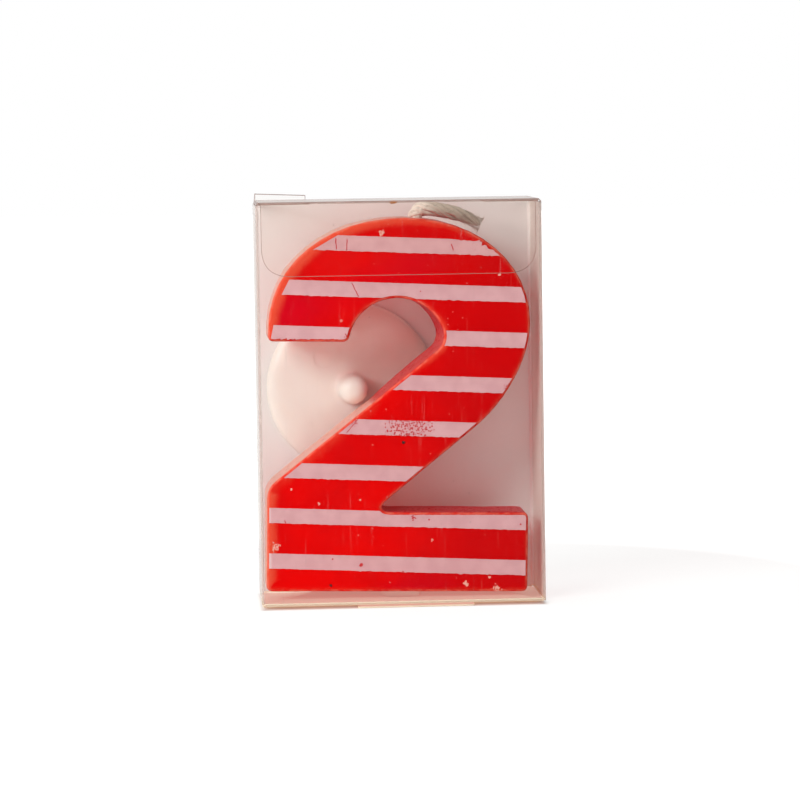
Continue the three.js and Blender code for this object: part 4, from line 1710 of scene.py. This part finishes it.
@dataclass
class Studio:
    """The floor, the lamps, the surroundings and the camera."""

    target: tuple[float, float, float] = (0.0, -0.6, 41.0)
    distance: float = 730.0
    azimuth: float = math.radians(-3.554)
    elevation: float = math.radians(4.623)
    roll: float = math.radians(0.856)
    lens: float = 158.4
    shift: tuple[float, float] = (0.00255, 0.00365)
    floor_light: float = 1.34
    floor_glow: float = 0.56

    def camera(self) -> None:
        """Stands the camera where the photograph was taken from."""
        a, e, r = self.azimuth, self.elevation, self.roll
        ahead = Vector((-math.sin(a) * math.cos(e), math.cos(a) * math.cos(e), -math.sin(e)))
        right = Vector((math.cos(a), math.sin(a), 0))
        up = right.cross(ahead)
        image_right = right * math.cos(r) - up * math.sin(r)
        image_up = right * math.sin(r) + up * math.cos(r)
        data = bpy.data.cameras.new("camera")
        data.lens = self.lens
        data.sensor_width = 36.0
        data.shift_x, data.shift_y = self.shift
        camera = Bench.new("camera", data)
        place = (Vector(self.target) - ahead * self.distance) * MM
        turn = Matrix((image_right, image_up, -ahead)).transposed()
        camera.matrix_world = Matrix.Translation(place) @ turn.to_4x4()
        bpy.context.scene.camera = camera

    def lamp(self, name: str, place: Sequence[float], size: float, power: float) -> None:
        """Hangs one soft square lamp that points at the object.

        Args:
            name: The lamp's name.
            place: Where it hangs, in metres.
            size: Its side, in metres.
            power: Its power in watts.
        """
        data = bpy.data.lights.new(name, "AREA")
        data.size = size
        data.energy = power
        lamp = Bench.new(name, data)
        lamp.location = place
        lamp.rotation_euler = (Vector((0, 0, 0.04)) - Vector(place)).to_track_quat("-Z", "Y").to_euler()

    def world(self) -> None:
        """Surrounds the object with soft light, white where it is seen and darker in front."""
        world = bpy.data.worlds.new("studio")
        bpy.context.scene.world = world
        world.use_nodes = True
        world.node_tree.nodes.clear()
        graph = Graph(world.node_tree)
        rays = graph.add("LightPath").outputs
        mirrored = graph.ramp(graph.parts(graph.coordinates("Generated"))["Y"], -0.25, 0.35, 0.05, 0.9)
        soft = graph.add("Background", {"Color": tone(255, 250, 246), "Strength": 0.33}).outputs[0]
        seen = graph.add("Background", {"Color": (1, 1, 1, 1), "Strength": 1.0}).outputs[0]
        gloss = graph.add("Background", {"Color": (1, 1, 1, 1), "Strength": mirrored}).outputs[0]
        direct = graph.most([rays["Is Camera Ray"], rays["Is Transmission Ray"]])
        first = graph.mixed(rays["Is Glossy Ray"], soft, gloss)
        graph.add("OutputWorld", {0: graph.mixed(direct, first, seen)})

    def floor(self) -> None:
        """Lays the pale floor, which is white where it is lit and keeps the object's shadow."""
        bpy.ops.object.select_all(action="DESELECT")
        bpy.ops.mesh.primitive_plane_add(size=6.0, location=(0, 0, -0.02 * MM))
        floor = bpy.context.object
        floor.name = "studio_floor"
        paint = Paint("studio floor")
        rays = paint.add("LightPath").outputs
        matt = paint.add("BsdfPrincipled", {"Base Color": tone(244, 243, 242), "Roughness": 0.9,
                                            "Specular IOR Level": 0.1})
        glow = paint.add("Emission", {"Color": (1, 1, 1, 1), "Strength": self.floor_light})
        away = paint.add("VectorMath", {0: paint.place}, operation="LENGTH").outputs["Value"]
        spread = paint.parts(paint.add("VectorMath", {0: paint.place}, operation="ABSOLUTE").outputs[0])
        clear = paint.most([paint.number("SUBTRACT", spread["X"], cad_box[1][0]),
                            paint.number("SUBTRACT", spread["Y"], cad_box[1][1])])
        share = paint.most([paint.ramp(clear, -0.3 * MM, 1.2 * MM, 0.0, self.floor_glow),
                            paint.ramp(away, 0.06, 0.13)])
        seen = paint.most([rays["Is Camera Ray"], rays["Is Transmission Ray"],
                           paint.number("MULTIPLY", rays["Is Glossy Ray"], 0.4)])
        share = paint.number("MULTIPLY", seen, share)
        floor.data.materials.append(paint.finish(paint.mixed(share, matt.outputs[0], glow.outputs[0])))

    def build(self) -> None:
        """Sets everything up."""
        self.camera()
        self.world()
        self.floor()
        self.lamp("key", (-0.48, -0.46, 0.36), size=0.36, power=3.6)
        self.lamp("fill", (0.35, -1.1, 0.75), size=0.8, power=0.5)
        self.lamp("top", (-0.1, 0.15, 0.95), size=0.6, power=1.2)
        scene = bpy.context.scene
        scene.view_settings.view_transform = "Standard"
        scene.cycles.transparent_max_bounces = 40


def main() -> None:
    """Builds the studio and every piece of the candle and its carton."""
    logging.basicConfig(level=logging.INFO, format="%(name)s %(message)s")
    Studio().build()
    finishes = Finishes.build()

    walls = ("front_panel", "rear_panel", "left_panel", "right_panel", "glue_flap")
    Bench.deliver(Sleeve(finishes).build(), Body.CARTON, Slot.SHEET, walls)
    flaps = Flaps(finishes)
    for flap in FLAPS:
        Bench.deliver(flaps.build(flap), flap.body, Slot.SHEET, (flap.node,))

    outline = Outline("wax_digit")
    Bench.deliver(Digit(finishes, outline).build(), Body.CANDLE, Slot.WAX, ("wax_digit",))
    stripes = Stripes(finishes, outline)
    for name in stripes.names:
        Bench.deliver(stripes.build(name), Body.CANDLE, Slot.PRINT, (name,))
    Bench.deliver(Wick(finishes).build(), Body.CANDLE, Slot.WICK, ("wick",))
    Bench.deliver(Holder(finishes).build(), Body.HOLDER, Slot.HOLDER, ("candle_holder",))


if __name__ == "__main__":
    main()
